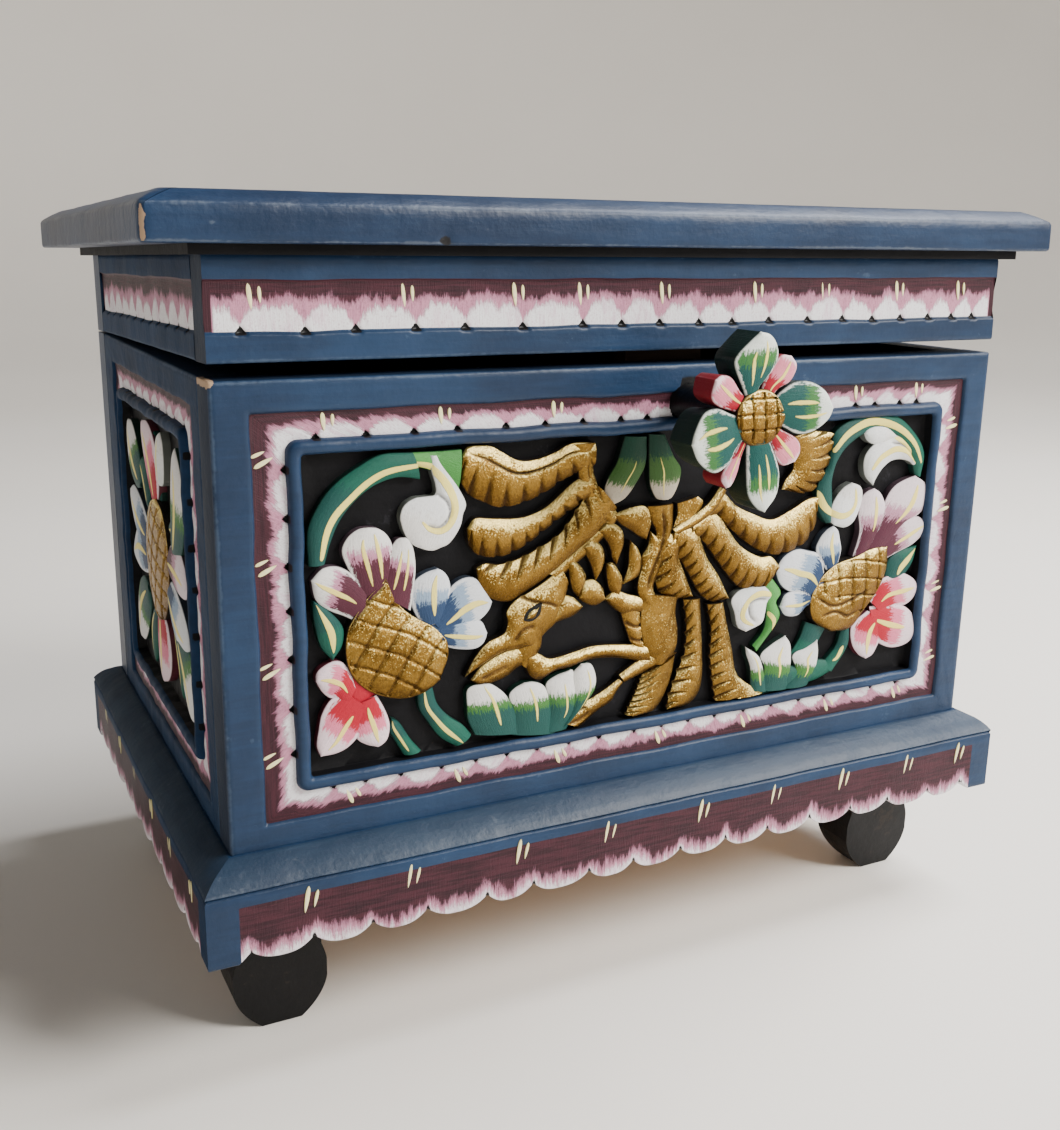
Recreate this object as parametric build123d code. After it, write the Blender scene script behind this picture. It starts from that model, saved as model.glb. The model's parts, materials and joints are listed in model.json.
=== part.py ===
from build123d import *
import math
import os

# A carved and painted wooden box on four feet, with a hinged lid and a flower
# peg in its front board. All sizes are in millimetres. X runs to the right, Y to
# the back and Z up; the floor is Z = 0, and X and Y are centred on the whole.

# Box body
body_width = 350.0
body_depth = 228.0
body_height = 207.4
front_board_thick = 16.0
back_board_thick = 16.0
side_board_thick = 16.0
bottom_board_thick = 10.0

# Feet: block sizes, and how far they stand in from the body's faces
foot_height = 50.6
foot_neck_width = 34.0
foot_belly_width = 38.0
foot_belly_height = 16.0
foot_sole_width = 16.0
foot_depth = 35.0
foot_sole_depth = 15.0
foot_inset_front = 21.0
foot_inset_side = 3.0

# Plinth: four mitred mouldings with a scalloped lower edge
plinth_height = 36.7
plinth_out = 13.0
plinth_face_height = 26.9
plinth_groove_width = 1.6
plinth_groove_depth = 1.0
plinth_top_ledge = 1.0
plinth_corner_block = 11.4
scallop_pitch = 22.5
scallop_depth = 6.4
scallop_run_in = 6.3

# Carved panels of the front and the sides
strip_depth = 1.5
strip_side_inset = 13.2
strip_top_inset = 11.0
strip_bottom_inset = 8.8
strip_side_width = 12.3
strip_top_width = 9.9
strip_bottom_width = 10.8
bead_width = 5.6
bead_rise = 1.6
recess_depth = 4.5
side_stile_extra_back = 5.4

# Lid: a board with a bevelled edge, a thin bed board and a frame of four rails
lid_seam = 0.6
lid_rail_height = 34.9
lid_rail_thick = 16.0
bed_board_thick = 3.5
bed_board_out = 5.0
lid_board_edge = 12.6
lid_board_bevel_rise = 4.4
lid_board_bevel_run = 8.6
lid_over_side = 20.5
lid_over_front = 10.0
lid_over_back = 18.0
lid_ajar_deg = 1.25

# Two butt hinges on the back
hinge_spacing = 190.0
hinge_width = 36.0
hinge_leaf_height = 20.0
hinge_leaf_thick = 1.2
hinge_barrel_radius = 2.6
hinge_pin_radius = 1.2
hinge_running_gap = 0.05
hinge_knuckle_gap = 0.2
hinge_wall_gap = 0.3
hinge_screw_spacing = 24.0
hinge_screw_length = 11.0

# Fasteners
nail_radius = 1.2
nail_head_radius = 2.6
nail_head_thick = 1.2
nail_length = 38.0
nail_clearance = 0.05
nail_inset = 8.0
screw_radius = 1.1
screw_head_radius = 2.5
screw_head_thick = 1.0

# Flower peg: a turned shaft in the front board with a carved flower as its knob
peg_x = 13.6
peg_below_rim = 15.3
peg_radius = 7.5
peg_running_gap = 0.08
peg_tenon_radius = 5.0
peg_tenon_length = 10.0
peg_end_short = 0.6
flower_stand_off = 33.0
flower_thick = 16.5
flower_hub_radius = 12.0
flower_hub_thick = 7.0
flower_eye_radius = 10.8
flower_eye_rise = 0.8
petal_root_radius = 4.5
petal_root_reach = 8.0
large_petal_reach = 34.0
large_petal_width = 20.0
small_petal_reach = 25.5
small_petal_width = 12.0
# hand-cut petals: direction in degrees from +X towards +Z, and how much longer
# and wider than the sizes above each one came out
large_petals = [(99, 1.0, 0.95), (7, 1.0, 1.0), (-84, 1.06, 0.73), (201, 0.94, 1.02)]
small_petals = [(141, 1.0, 1.0), (58, 1.0, 1.0), (-37, 0.92, 0.83), (-121, 1.06, 0.75)]

# Tongue of the lid that the pushed-in peg locks
tongue_width = 36.0
tongue_thick = 9.0
tongue_relief = 3.0
tongue_below_peg = 18.0
tongue_mortise_gap = 1.5
tongue_slack = 6.0

# Levels, and depths from the front face of the body
body_base_z = foot_height
body_top_z = body_base_z + body_height
plinth_top_z = body_base_z + plinth_height
rail_base_z = body_top_z + lid_seam
bed_z = rail_base_z + lid_rail_height
lid_board_z = bed_z + bed_board_thick
hinge_z = body_top_z + lid_seam / 2
hinge_behind = hinge_wall_gap + hinge_barrel_radius
peg_z = body_top_z - peg_below_rim

# The whole reaches from the flower's eye to the raised back edge of the lid.
lid_turn = math.radians(lid_ajar_deg)
front_reach = flower_stand_off + flower_thick + flower_eye_rise
back_reach = (
    hinge_behind
    + (lid_over_back - hinge_behind) * math.cos(lid_turn)
    + (lid_board_z + lid_board_edge - hinge_z) * math.sin(lid_turn)
)
front_y = front_reach - (front_reach + body_depth + back_reach) / 2
back_y = front_y + body_depth
hinge_axis = Axis((0, back_y + hinge_behind, hinge_z), (1, 0, 0))


def block(x_low, x_high, y_low, y_high, z_low, z_high):
    """A box given by its lowest and highest corners."""
    size = (x_high - x_low, y_high - y_low, z_high - z_low)
    middle = ((x_low + x_high) / 2, (y_low + y_high) / 2, (z_low + z_high) / 2)
    return Pos(*middle) * Box(*size)


def rod(start, direction, length, radius):
    """A round bar from a start point along a direction."""
    return extrude(Plane(start, z_dir=direction) * Circle(radius), length)


def together(pieces):
    """Separate solids that share one node."""
    return Compound(list(pieces))


# Carved panels: drawn flat, with U along the width, V upwards and W outwards

def rectangle_between(u_low, u_high, v_low, v_high):
    middle = Pos((u_low + u_high) / 2, (v_low + v_high) / 2)
    return middle * Rectangle(u_high - u_low, v_high - v_low)


def panel_lines(width, v_low, v_high):
    """Outlines of the sunk strip, of the bead and of the recess inside it."""
    half = width / 2
    strip = (half - strip_side_inset, v_low + strip_bottom_inset, v_high - strip_top_inset)
    bead = (strip[0] - strip_side_width, strip[1] + strip_bottom_width, strip[2] - strip_top_width)
    recess = (bead[0] - bead_width, bead[1] + bead_width, bead[2] - bead_width)
    return [rectangle_between(-u, u, low, high) for u, low, high in (strip, bead, recess)]


def carve_panel(board, face_plane, width, v_low, v_high):
    """Sinks the strip, raises the rounded bead and hollows the recess in a board."""
    strip, bead, recess = panel_lines(width, v_low, v_high)
    ring = extrude(bead - recess, strip_depth + bead_rise)
    rims = ring.faces().sort_by(Axis.Z)[-1].edges()
    ring = fillet(rims, 0.42 * bead_width)
    sunk = Pos(0, 0, -strip_depth) * extrude(strip, strip_depth)
    hollow = Pos(0, 0, -recess_depth) * extrude(recess, recess_depth)
    ring = Pos(0, 0, -strip_depth) * ring
    return board - face_plane * sunk + face_plane * ring - face_plane * hollow


def front_plane():
    """Face of the front board, with V equal to Z."""
    return Plane((0, front_y, 0), x_dir=(1, 0, 0), z_dir=(0, -1, 0))


def side_panel_reach():
    """Lowest and highest Y of a side board's panel: its back stile is the wider one."""
    return front_y + front_board_thick, back_y - back_board_thick - side_stile_extra_back


def side_plane(side):
    """Outer face of the left (-1) or right (+1) side board, with V equal to Z."""
    y_low, y_high = side_panel_reach()
    return Plane((side * body_width / 2, (y_low + y_high) / 2, 0), x_dir=(0, side, 0), z_dir=(side, 0, 0))


# Nails that hold the corners of the body

def corner_nail_places(y, towards_back):
    """Start points of the nails through the front or the back board."""
    clear_top = body_top_z - nail_inset
    clear_low = plinth_top_z + nail_inset
    heights = [clear_low + (clear_top - clear_low) * step / 2 for step in range(3)]
    reach = body_width / 2 - side_board_thick / 2
    direction = (0, 1, 0) if towards_back else (0, -1, 0)
    return [((x, y, z), direction) for x in (-reach, reach) for z in heights]


def lid_nail_places():
    """Start points of the nails through the lid board into its rails."""
    top = lid_board_z + lid_board_edge + lid_board_bevel_rise
    x_rail = body_width / 2 - lid_rail_thick / 2
    y_front = front_y + lid_rail_thick / 2
    y_back = back_y - lid_rail_thick / 2
    y_middle = (y_front + y_back) / 2
    spots = [(x, y_middle) for x in (-x_rail, x_rail)]
    spots += [(x, y) for x in (-x_rail * 2 / 3, 0, x_rail * 2 / 3) for y in (y_front, y_back)]
    return [((x, y, top), (0, 0, -1)) for x, y in spots]


def nail(place, grow=0.0):
    """One nail with its flat head, or the hole for it when grown by the clearance."""
    start, direction = place
    head = rod(start, direction, nail_head_thick + grow, nail_head_radius + grow)
    return head + rod(start, direction, nail_length + grow, nail_radius + grow)


def nail_holes(places):
    return [nail(place, nail_clearance) for place in places]


# Body boards

def make_front_board():
    board = block(
        -body_width / 2, body_width / 2, front_y, front_y + front_board_thick, body_base_z, body_top_z
    )
    board = carve_panel(board, front_plane(), body_width, plinth_top_z, body_top_z)
    peg_hole = rod(
        (peg_x, front_y - bead_rise * 2, peg_z),
        (0, 1, 0),
        front_board_thick + bead_rise * 4,
        peg_radius + peg_running_gap,
    )
    return board - peg_hole - nail_holes(corner_nail_places(front_y, True))


def make_back_board():
    board = block(
        -body_width / 2, body_width / 2, back_y - back_board_thick, back_y, body_base_z, body_top_z
    )
    return board - nail_holes(corner_nail_places(back_y, False)) - hinge_screw_holes(-1)


def make_side_board(side):
    outer = side * body_width / 2
    inner = outer - side * side_board_thick
    y_low = front_y + front_board_thick
    y_high = back_y - back_board_thick
    board = block(min(outer, inner), max(outer, inner), y_low, y_high, body_base_z, body_top_z)
    panel_low, panel_high = side_panel_reach()
    board = carve_panel(board, side_plane(side), panel_high - panel_low, plinth_top_z, body_top_z)
    nails = corner_nail_places(front_y, True) + corner_nail_places(back_y, False)
    return board - nail_holes(nails)


def make_bottom_board():
    reach = body_width / 2 - side_board_thick
    return block(
        -reach,
        reach,
        front_y + front_board_thick,
        back_y - back_board_thick,
        body_base_z,
        body_base_z + bottom_board_thick,
    )


# Plinth mouldings

def plinth_section():
    """Section of the moulding, with U outwards from the body and V upwards."""
    groove_low = plinth_face_height
    groove_high = plinth_face_height + plinth_groove_width
    slope = Spline(
        (plinth_out, groove_high), (plinth_out * 0.66, plinth_height * 0.915), (plinth_top_ledge, plinth_height)
    )
    lines = Polyline(
        (plinth_top_ledge, plinth_height),
        (0, plinth_height),
        (0, 0),
        (plinth_out, 0),
        (plinth_out, groove_low),
        (plinth_out - plinth_groove_depth, groove_low + plinth_groove_width * 0.4),
        (plinth_out, groove_high),
    )
    return make_face(Curve() + [slope, lines])


def scalloped_outline(length):
    """Face of the moulding seen from outside: a row of arcs hangs between two corner blocks."""
    half = length / 2
    start = half - plinth_corner_block - scallop_run_in
    count = max(1, round(2 * start / scallop_pitch))
    pitch = 2 * start / count
    edge = [Polyline((-half, 0), (-half + plinth_corner_block, 0), (-start, scallop_depth))]
    for number in range(count):
        left = -start + number * pitch
        edge.append(ThreePointArc((left, scallop_depth), (left + pitch / 2, 0), (left + pitch, scallop_depth)))
    edge.append(Polyline((start, scallop_depth), (half - plinth_corner_block, 0), (half, 0)))
    edge.append(Polyline((half, 0), (half, plinth_height), (-half, plinth_height), (-half, 0)))
    return make_face(Curve() + edge)


def make_moulding(run):
    """A mitred moulding along local X for a body side of this length, outwards along -Y."""
    length = run + 2 * plinth_out
    bar = Pos(length / 2, 0, 0) * extrude(
        Plane((0, 0, 0), x_dir=(0, -1, 0), z_dir=(-1, 0, 0)) * plinth_section(), length
    )
    face = Plane((0, 0, 0), x_dir=(1, 0, 0), z_dir=(0, -1, 0)) * scalloped_outline(length)
    plan = make_face(
        Polyline((-run / 2, 0), (run / 2, 0), (length / 2, -plinth_out), (-length / 2, -plinth_out), close=True)
    )
    return bar & extrude(face, plinth_out) & extrude(plan, plinth_height)


def make_plinth():
    """The four mouldings in place round the foot of the body."""
    middle_y = (front_y + back_y) / 2
    places = {
        "plinth_front": (body_width, (0, front_y, body_base_z), 0),
        "plinth_right": (body_depth, (body_width / 2, middle_y, body_base_z), 90),
        "plinth_back": (body_width, (0, back_y, body_base_z), 180),
        "plinth_left": (body_depth, (-body_width / 2, middle_y, body_base_z), -90),
    }
    return {
        name: Pos(*place) * Rot(0, 0, turn) * make_moulding(run)
        for name, (run, place, turn) in places.items()
    }


# Feet

def foot_front_outline():
    """Bulging outline of a foot seen from the front, with V from the floor up."""
    neck = foot_neck_width / 2
    belly = foot_belly_width / 2
    sole = foot_sole_width / 2
    right = [
        Line((neck, foot_height), (neck, foot_belly_height * 1.9)),
        Spline((neck, foot_belly_height * 1.9), (belly, foot_belly_height), (sole, 0)),
    ]
    left = [mirror(line, Plane.YZ) for line in right]
    rims = [Line((-sole, 0), (sole, 0)), Line((-neck, foot_height), (neck, foot_height))]
    return make_face(Curve() + right + left + rims)


def foot_side_outline():
    """Side of a foot: the outer face is upright and the inner face slopes out to the top."""
    return make_face(
        Polyline((0, 0), (foot_sole_depth, 0), (foot_depth, foot_height), (0, foot_height), close=True)
    )


def make_foot(side, end):
    """One foot: side -1 left or +1 right, end -1 front or +1 rear."""
    front_view = Plane((0, 0, 0), x_dir=(1, 0, 0), z_dir=(0, -1, 0)) * foot_front_outline()
    side_view = Plane((0, 0, 0), x_dir=(0, 1, 0), z_dir=(1, 0, 0)) * foot_side_outline()
    foot = extrude(front_view, -foot_depth) & extrude(side_view, foot_belly_width / 2, both=True)
    if end > 0:
        foot = Rot(0, 0, 180) * foot
    x = side * (body_width / 2 - foot_inset_side - foot_belly_width / 2)
    y = front_y + foot_inset_front if end < 0 else back_y - foot_inset_front
    return Pos(x, y, 0) * foot


# Lid, drawn closed

def make_lid_cross_rail(y_low, y_high):
    """Front or back rail: it runs the whole width and covers the side rails' ends."""
    return block(-body_width / 2, body_width / 2, y_low, y_high, rail_base_z, bed_z)


def make_lid_side_rail(side):
    outer = side * body_width / 2
    inner = outer - side * lid_rail_thick
    rail = block(
        min(outer, inner),
        max(outer, inner),
        front_y + lid_rail_thick,
        back_y - lid_rail_thick,
        rail_base_z,
        bed_z,
    )
    return rail - nail_holes(lid_nail_places())


def make_bed_board():
    reach = body_width / 2 + bed_board_out
    board = block(
        -reach, reach, front_y - bed_board_out, back_y + bed_board_out, bed_z, lid_board_z
    )
    return board - nail_holes(lid_nail_places())


def make_lid_board():
    """The overhanging board: an upright edge, then a bevel up to the flat top."""
    x = body_width / 2 + lid_over_side
    middle_y = (front_y - lid_over_front + back_y + lid_over_back) / 2
    depth = body_depth + lid_over_front + lid_over_back
    run = lid_board_bevel_run
    slab = Pos(0, middle_y, lid_board_z) * extrude(Rectangle(2 * x, depth), lid_board_edge)
    low = Pos(0, middle_y, lid_board_z + lid_board_edge) * Rectangle(2 * x, depth)
    high = Pos(0, middle_y, lid_board_z + lid_board_edge + lid_board_bevel_rise) * Rectangle(
        2 * (x - run), depth - 2 * run
    )
    return slab + loft([low, high]) - nail_holes(lid_nail_places())


def make_tongue():
    """Wooden tongue behind the lid's front rail, with a tall mortise for the peg."""
    y_rail = front_y + lid_rail_thick
    y_relief = y_rail + tongue_relief
    y_inner = y_relief + tongue_thick
    x_low = peg_x - tongue_width / 2
    x_high = peg_x + tongue_width / 2
    bottom = peg_z - tongue_below_peg
    upper = block(x_low, x_high, y_rail, y_inner, rail_base_z + lid_seam, bed_z)
    lower = block(x_low, x_high, y_relief, y_inner, bottom, bed_z)
    reach = peg_radius + tongue_mortise_gap
    mortise = block(peg_x - reach, peg_x + reach, y_rail, y_inner, peg_z - reach - tongue_slack, peg_z + reach)
    return upper + lower - mortise


# Hinges, drawn closed

def hinge_barrel(x_low, x_high, radius):
    return rod((x_low, back_y + hinge_behind, hinge_z), (1, 0, 0), x_high - x_low, radius)


def make_hinge_leaf(x, up):
    """Leaf with its knuckles: the lid's leaf (up = +1) has the middle one, the body's the outer two."""
    half = hinge_width / 2
    third = hinge_width / 6
    clear = hinge_barrel_radius + hinge_wall_gap
    near = hinge_z + up * clear
    far = hinge_z + up * hinge_leaf_height
    y_high = back_y + hinge_leaf_thick
    leaf = block(x - half, x + half, back_y, y_high, min(near, far), max(near, far))
    if up > 0:
        spans = [(x - third + hinge_knuckle_gap, x + third - hinge_knuckle_gap)]
        bore = hinge_pin_radius + hinge_running_gap
    else:
        spans = [(x - half, x - third), (x + third, x + half)]
        bore = hinge_pin_radius
    for x_low, x_high in spans:
        strap = block(x_low, x_high, back_y + hinge_wall_gap, y_high, min(hinge_z, near), max(hinge_z, near))
        leaf = leaf + strap + hinge_barrel(x_low, x_high, hinge_barrel_radius)
    return leaf - hinge_barrel(x - half, x + half, bore) - hinge_screw_holes(up)


def hinge_screw_places(up):
    """Start points of the screws in the lid's (+1) or the body's (-1) leaves."""
    z = hinge_z + up * (hinge_leaf_height + hinge_barrel_radius) / 2
    middles = (-hinge_spacing / 2, hinge_spacing / 2)
    offsets = (-hinge_screw_spacing / 2, hinge_screw_spacing / 2)
    return [(x + offset, back_y + hinge_leaf_thick, z) for x in middles for offset in offsets]


def hinge_screw(start, grow=0.0):
    """Round-headed screw, or the hole for its shank when grown by the clearance."""
    shank = rod(start, (0, -1, 0), hinge_screw_length + grow, screw_radius + grow)
    if grow > 0:
        return shank
    head = rod(start, (0, 1, 0), screw_head_thick, screw_head_radius)
    rim = head.faces().sort_by(Axis.Y)[-1].edges()
    return shank + fillet(rim, screw_head_thick * 0.7)


def hinge_screw_holes(up):
    return [hinge_screw(start, nail_clearance) for start in hinge_screw_places(up)]


# Flower peg

def petal(direction, reach, width):
    """Flat petal outline from the hub to its round tip, drawn about the flower's middle."""
    tip_radius = width / 2
    tip = Pos(reach - tip_radius, 0) * Circle(tip_radius)
    root = Pos(petal_root_reach, 0) * Circle(petal_root_radius)
    outline = make_hull(tip.edges() + root.edges())
    return Rot(0, 0, direction) * outline


def make_flower():
    """Carved flower: four large and four small petals round an eye, in one piece of wood."""
    face = Plane((peg_x, front_y - flower_stand_off, peg_z), x_dir=(1, 0, 0), z_dir=(0, -1, 0))
    flower = extrude(Circle(flower_hub_radius), flower_hub_thick)
    flower += extrude(Circle(flower_eye_radius), flower_thick + flower_eye_rise)
    for direction, longer, wider in large_petals:
        outline = petal(direction, large_petal_reach * longer, large_petal_width * wider)
        flower += extrude(outline, flower_thick)
    for direction, longer, wider in small_petals:
        outline = petal(direction, small_petal_reach * longer, small_petal_width * wider)
        flower += extrude(outline, flower_thick - flower_eye_rise)
    socket = extrude(Circle(peg_tenon_radius + nail_clearance), peg_tenon_length + nail_clearance)
    return face * (flower - socket)


def make_peg():
    """Round shaft from behind the flower to just short of the front board's inner face."""
    start_y = front_y - flower_stand_off
    length = flower_stand_off + front_board_thick - peg_end_short
    shaft = rod((peg_x, start_y, peg_z), (0, 1, 0), length, peg_radius)
    end_rim = shaft.faces().sort_by(Axis.Y)[-1].edges()
    shaft = chamfer(end_rim, 1.0)
    return shaft + rod((peg_x, start_y, peg_z), (0, -1, 0), peg_tenon_length, peg_tenon_radius)


# The nodes, each in its place at rest

fixed = {
    "front_board": make_front_board(),
    "back_board": make_back_board(),
    "side_board_left": make_side_board(-1),
    "side_board_right": make_side_board(1),
    "bottom_board": make_bottom_board(),
    "front_nails": together(nail(place) for place in corner_nail_places(front_y, True)),
    "back_nails": together(nail(place) for place in corner_nail_places(back_y, False)),
    "hinge_screws_body": together(hinge_screw(start) for start in hinge_screw_places(-1)),
    "lock_peg": make_peg(),
    "flower_knob": make_flower(),
}
fixed.update(make_plinth())
for end_name, end in (("front", -1), ("rear", 1)):
    for side_name, side in (("left", -1), ("right", 1)):
        fixed[f"foot_{end_name}_{side_name}"] = make_foot(side, end)

lid = {
    "lid_board": make_lid_board(),
    "lid_bed_board": make_bed_board(),
    "lid_rail_front": make_lid_cross_rail(front_y, front_y + lid_rail_thick) - nail_holes(lid_nail_places()),
    "lid_rail_back": make_lid_cross_rail(back_y - lid_rail_thick, back_y)
    - nail_holes(lid_nail_places())
    - hinge_screw_holes(1),
    "lid_rail_left": make_lid_side_rail(-1),
    "lid_rail_right": make_lid_side_rail(1),
    "lid_tongue": make_tongue(),
    "lid_nails": together(nail(place) for place in lid_nail_places()),
    "hinge_screws_lid": together(hinge_screw(start) for start in hinge_screw_places(1)),
}
for side_name, side in (("left", -1), ("right", 1)):
    middle = side * hinge_spacing / 2
    fixed[f"hinge_{side_name}_body_leaf"] = make_hinge_leaf(middle, -1)
    lid[f"hinge_{side_name}_lid_leaf"] = make_hinge_leaf(middle, 1)
    fixed[f"hinge_{side_name}_pin"] = hinge_barrel(
        middle - hinge_width / 2, middle + hinge_width / 2, hinge_pin_radius
    )

# The lid doesn't shut by itself: it stands a little open at the front.
nodes = dict(fixed)
for name, piece in lid.items():
    nodes[name] = piece.rotate(hinge_axis, -lid_ajar_deg)

os.makedirs("parts", exist_ok=True)
for name, piece in nodes.items():
    export_step(piece, f"parts/{name}.step")

print(f"front face of the body at Y {front_y:.3f}, back face at {back_y:.3f}")
print(f"hinge axis at Y {back_y + hinge_behind:.3f}, Z {hinge_z:.3f}")
print(f"peg axis at X {peg_x:.3f}, Z {peg_z:.3f}; tongue's inner face at Y "
      f"{front_y + lid_rail_thick + tongue_relief + tongue_thick:.3f}")
print(f"body top Z {body_top_z:.3f}, rail base {rail_base_z:.3f}, bed {bed_z:.3f}, board {lid_board_z:.3f}")
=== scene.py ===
# %% [markdown]
# # A carved and painted wooden box
# The real box is cut by hand from soft wood and painted with a brush. Its charm is in
# what a machine would not do: edges that waver, brush marks, chipped corners and a
# carved panel with a gold bird among flowers. The CAD model gives the sizes; this
# script dresses it. The file is read from top to bottom, one cell at a time.

# %% Load the CAD model as a fixed frame
import json
import math

import bmesh
import bpy
import numpy as np
from mathutils import Matrix

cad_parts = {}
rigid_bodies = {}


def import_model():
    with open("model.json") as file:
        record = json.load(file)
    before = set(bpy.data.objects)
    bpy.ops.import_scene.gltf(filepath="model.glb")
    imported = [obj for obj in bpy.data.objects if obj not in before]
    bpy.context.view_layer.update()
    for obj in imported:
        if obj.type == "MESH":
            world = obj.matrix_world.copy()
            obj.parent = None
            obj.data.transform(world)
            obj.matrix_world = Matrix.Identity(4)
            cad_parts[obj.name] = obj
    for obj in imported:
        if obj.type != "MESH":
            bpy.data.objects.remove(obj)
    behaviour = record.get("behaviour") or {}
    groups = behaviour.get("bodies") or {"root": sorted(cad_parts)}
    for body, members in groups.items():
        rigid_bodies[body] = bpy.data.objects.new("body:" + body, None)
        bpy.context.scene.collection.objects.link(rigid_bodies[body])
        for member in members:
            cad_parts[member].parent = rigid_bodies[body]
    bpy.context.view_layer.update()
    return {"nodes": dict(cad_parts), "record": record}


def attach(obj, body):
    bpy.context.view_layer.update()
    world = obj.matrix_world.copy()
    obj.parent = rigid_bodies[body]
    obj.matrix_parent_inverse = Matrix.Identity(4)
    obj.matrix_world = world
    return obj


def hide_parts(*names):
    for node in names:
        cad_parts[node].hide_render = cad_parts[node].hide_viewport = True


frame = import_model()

# %% [markdown]
# ## Sizes
# Everything below is worked out in millimetres, in the CAD model's own frame, and is
# turned into metres when a mesh is made. These are the box's main sizes.

# %% Main sizes in millimetres
half_width = 175.0
front_y = -98.408
back_y = 129.592
board_thick = 16.0
base_z = 50.6
plinth_top_z = 87.3
body_top_z = 258.0
rail_base_z = 258.6
rail_top_z = 293.5
lid_board_z = 297.0
recess_depth = 4.5
lid_ajar_deg = 1.25
hinge_y = 132.492
hinge_z = 258.3
peg_x = 13.6
peg_z = 242.7
print("body:", 2 * half_width, "mm wide and", back_y - front_y, "mm deep")

# %% [markdown]
# ## The camera
# A camera has a place, three axes and a focal length. They were solved once from the
# box's right angles. With them a mark that was read off the photograph, in pixels, can
# be sent along its line of sight until it meets the panel it lies on, so the carving can
# be laid out where it is seen and still be cut in the wood.

# %% Camera place, axes and lens
camera_place = np.array([-268.345, -515.678, 306.25])
camera_pitch, camera_roll, camera_turn = 0.2538, 0.0148, -0.4724
focal_pixels = 1262.28
picture_middle = np.array([530.98, 561.85])
picture_size = np.array([1060, 1130])
sensor_mm = 36.0

level_right = np.array([math.cos(camera_turn), math.sin(camera_turn), 0.0])
view_line = np.array([
    -math.sin(camera_turn) * math.cos(camera_pitch),
    math.cos(camera_turn) * math.cos(camera_pitch),
    -math.sin(camera_pitch),
])
level_up = np.cross(level_right, view_line)
camera_right = math.cos(camera_roll) * level_right + math.sin(camera_roll) * level_up
camera_up = -math.sin(camera_roll) * level_right + math.cos(camera_roll) * level_up


def add_object(name, data):
    """A new object that shows the data, linked to the scene."""
    item = bpy.data.objects.new(name, data)
    bpy.context.scene.collection.objects.link(item)
    return item


def stand(item, axes, place):
    """Sets an object's matrix: its columns are the three axes and the place in metres."""
    columns = [*axes, place]
    rows = [[float(column[row]) for column in columns] for row in range(3)]
    item.matrix_world = Matrix(rows + [[0, 0, 0, 1]])


def make_camera():
    """Camera on the axes above: lens = focal length in pixels times sensor width over picture width."""
    data = bpy.data.cameras.new("camera")
    data.sensor_width = sensor_mm
    data.lens = focal_pixels * sensor_mm / picture_size.max()
    shift = (picture_size / 2 - picture_middle) / picture_size.max()
    data.shift_x = float(shift[0])
    data.shift_y = -float(shift[1])
    data.clip_end = 20.0
    camera = add_object("camera", data)
    stand(camera, (camera_right, camera_up, -view_line), camera_place / 1000)
    bpy.context.scene.camera = camera


make_camera()
print("camera at", camera_place, "mm, looking along", view_line.round(3))

# %% [markdown]
# ## Panels to carve on
# Each face of the box gets flat coordinates: U along it, V upwards (equal to Z) and W
# outwards from the wood. A function turns them into points in space. The shapes could
# be drawn in space at once, but in flat coordinates one carving serves any face.

# %% Faces of the box and marks in pixels


class Face:
    """A flat upright face: U runs along it, V up, W outwards. Point = start + U along + V up + W out."""

    def __init__(self, start, along, out):
        self.start = np.array(start, float)
        self.along = np.array(along, float)
        self.out = np.array(out, float)

    def points(self, uvw):
        """Sends (..., 3) flat coordinates to (..., 3) points in millimetres."""
        u, v, w = uvw[..., 0:1], uvw[..., 1:2], uvw[..., 2:3]
        return self.start + u * self.along + v * np.array([0.0, 0.0, 1.0]) + w * self.out

    def marks(self, text, depth=2.0):
        """Sends pixel pairs, written as 'x,y x,y', along their sight lines to the plane W = -depth."""
        pixels = np.array([[float(value) for value in pair.split(",")] for pair in text.split()])
        offset = (pixels - picture_middle) / focal_pixels
        rays = view_line + offset[:, :1] * camera_right - offset[:, 1:] * camera_up
        plane = self.start - depth * self.out
        reach = ((plane - camera_place) @ self.out) / (rays @ self.out)
        hits = camera_place + reach[:, None] * rays
        return np.stack([(hits - self.start) @ self.along, hits[:, 2]], axis=-1)


front_face = Face((0, front_y, 0), (1, 0, 0), (0, -1, 0))
back_face = Face((0, back_y, 0), (1, 0, 0), (0, 1, 0))
left_face = Face((-half_width, front_y, 0), (0, 1, 0), (-1, 0, 0))
right_face = Face((half_width, front_y, 0), (0, 1, 0), (1, 0, 0))
side_faces = (("left", left_face), ("right", right_face))
print("pixel 531,562 lies on the front face at", front_face.marks("531,562").round(1))

# %% [markdown]
# ## From arrays to a piece
# Every new surface here is a grid: rows along one direction, columns along the other,
# with a point for each pair. A closed section (its last column equal to its first) and
# end rows drawn together to a point make a closed solid out of a single grid. The
# signed volume says whether the faces look outwards, so nothing has to be turned by hand.

# %% Grids, their faces and their volume
weld_mm = 0.002


def grid(points, uv=None, tone=0, paints=None):
    """One surface: (rows, cols, 3) points, (rows, cols, 2) UVs, a material index per face, attributes."""
    rows, cols = points.shape[:2]
    if uv is None:
        uv = np.zeros((rows, cols, 2))
    return {"points": points, "uv": uv, "tone": tone, "paints": paints or {}}


def grid_faces(rows, cols):
    """Quads between neighbouring rows and columns."""
    index = np.arange(rows * cols).reshape(rows, cols)
    corners = [index[:-1, :-1], index[:-1, 1:], index[1:, 1:], index[1:, :-1]]
    return np.stack(corners, axis=-1).reshape(-1, 4)


def signed_volume(points, faces):
    """A sixth of the triple product of each triangle's corners, added up; a quad is two triangles."""
    a, b, c, d = (points[faces[:, k]] for k in range(4))
    return (np.einsum("ij,ij->", a, np.cross(b, c)) + np.einsum("ij,ij->", a, np.cross(c, d))) / 6


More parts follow.
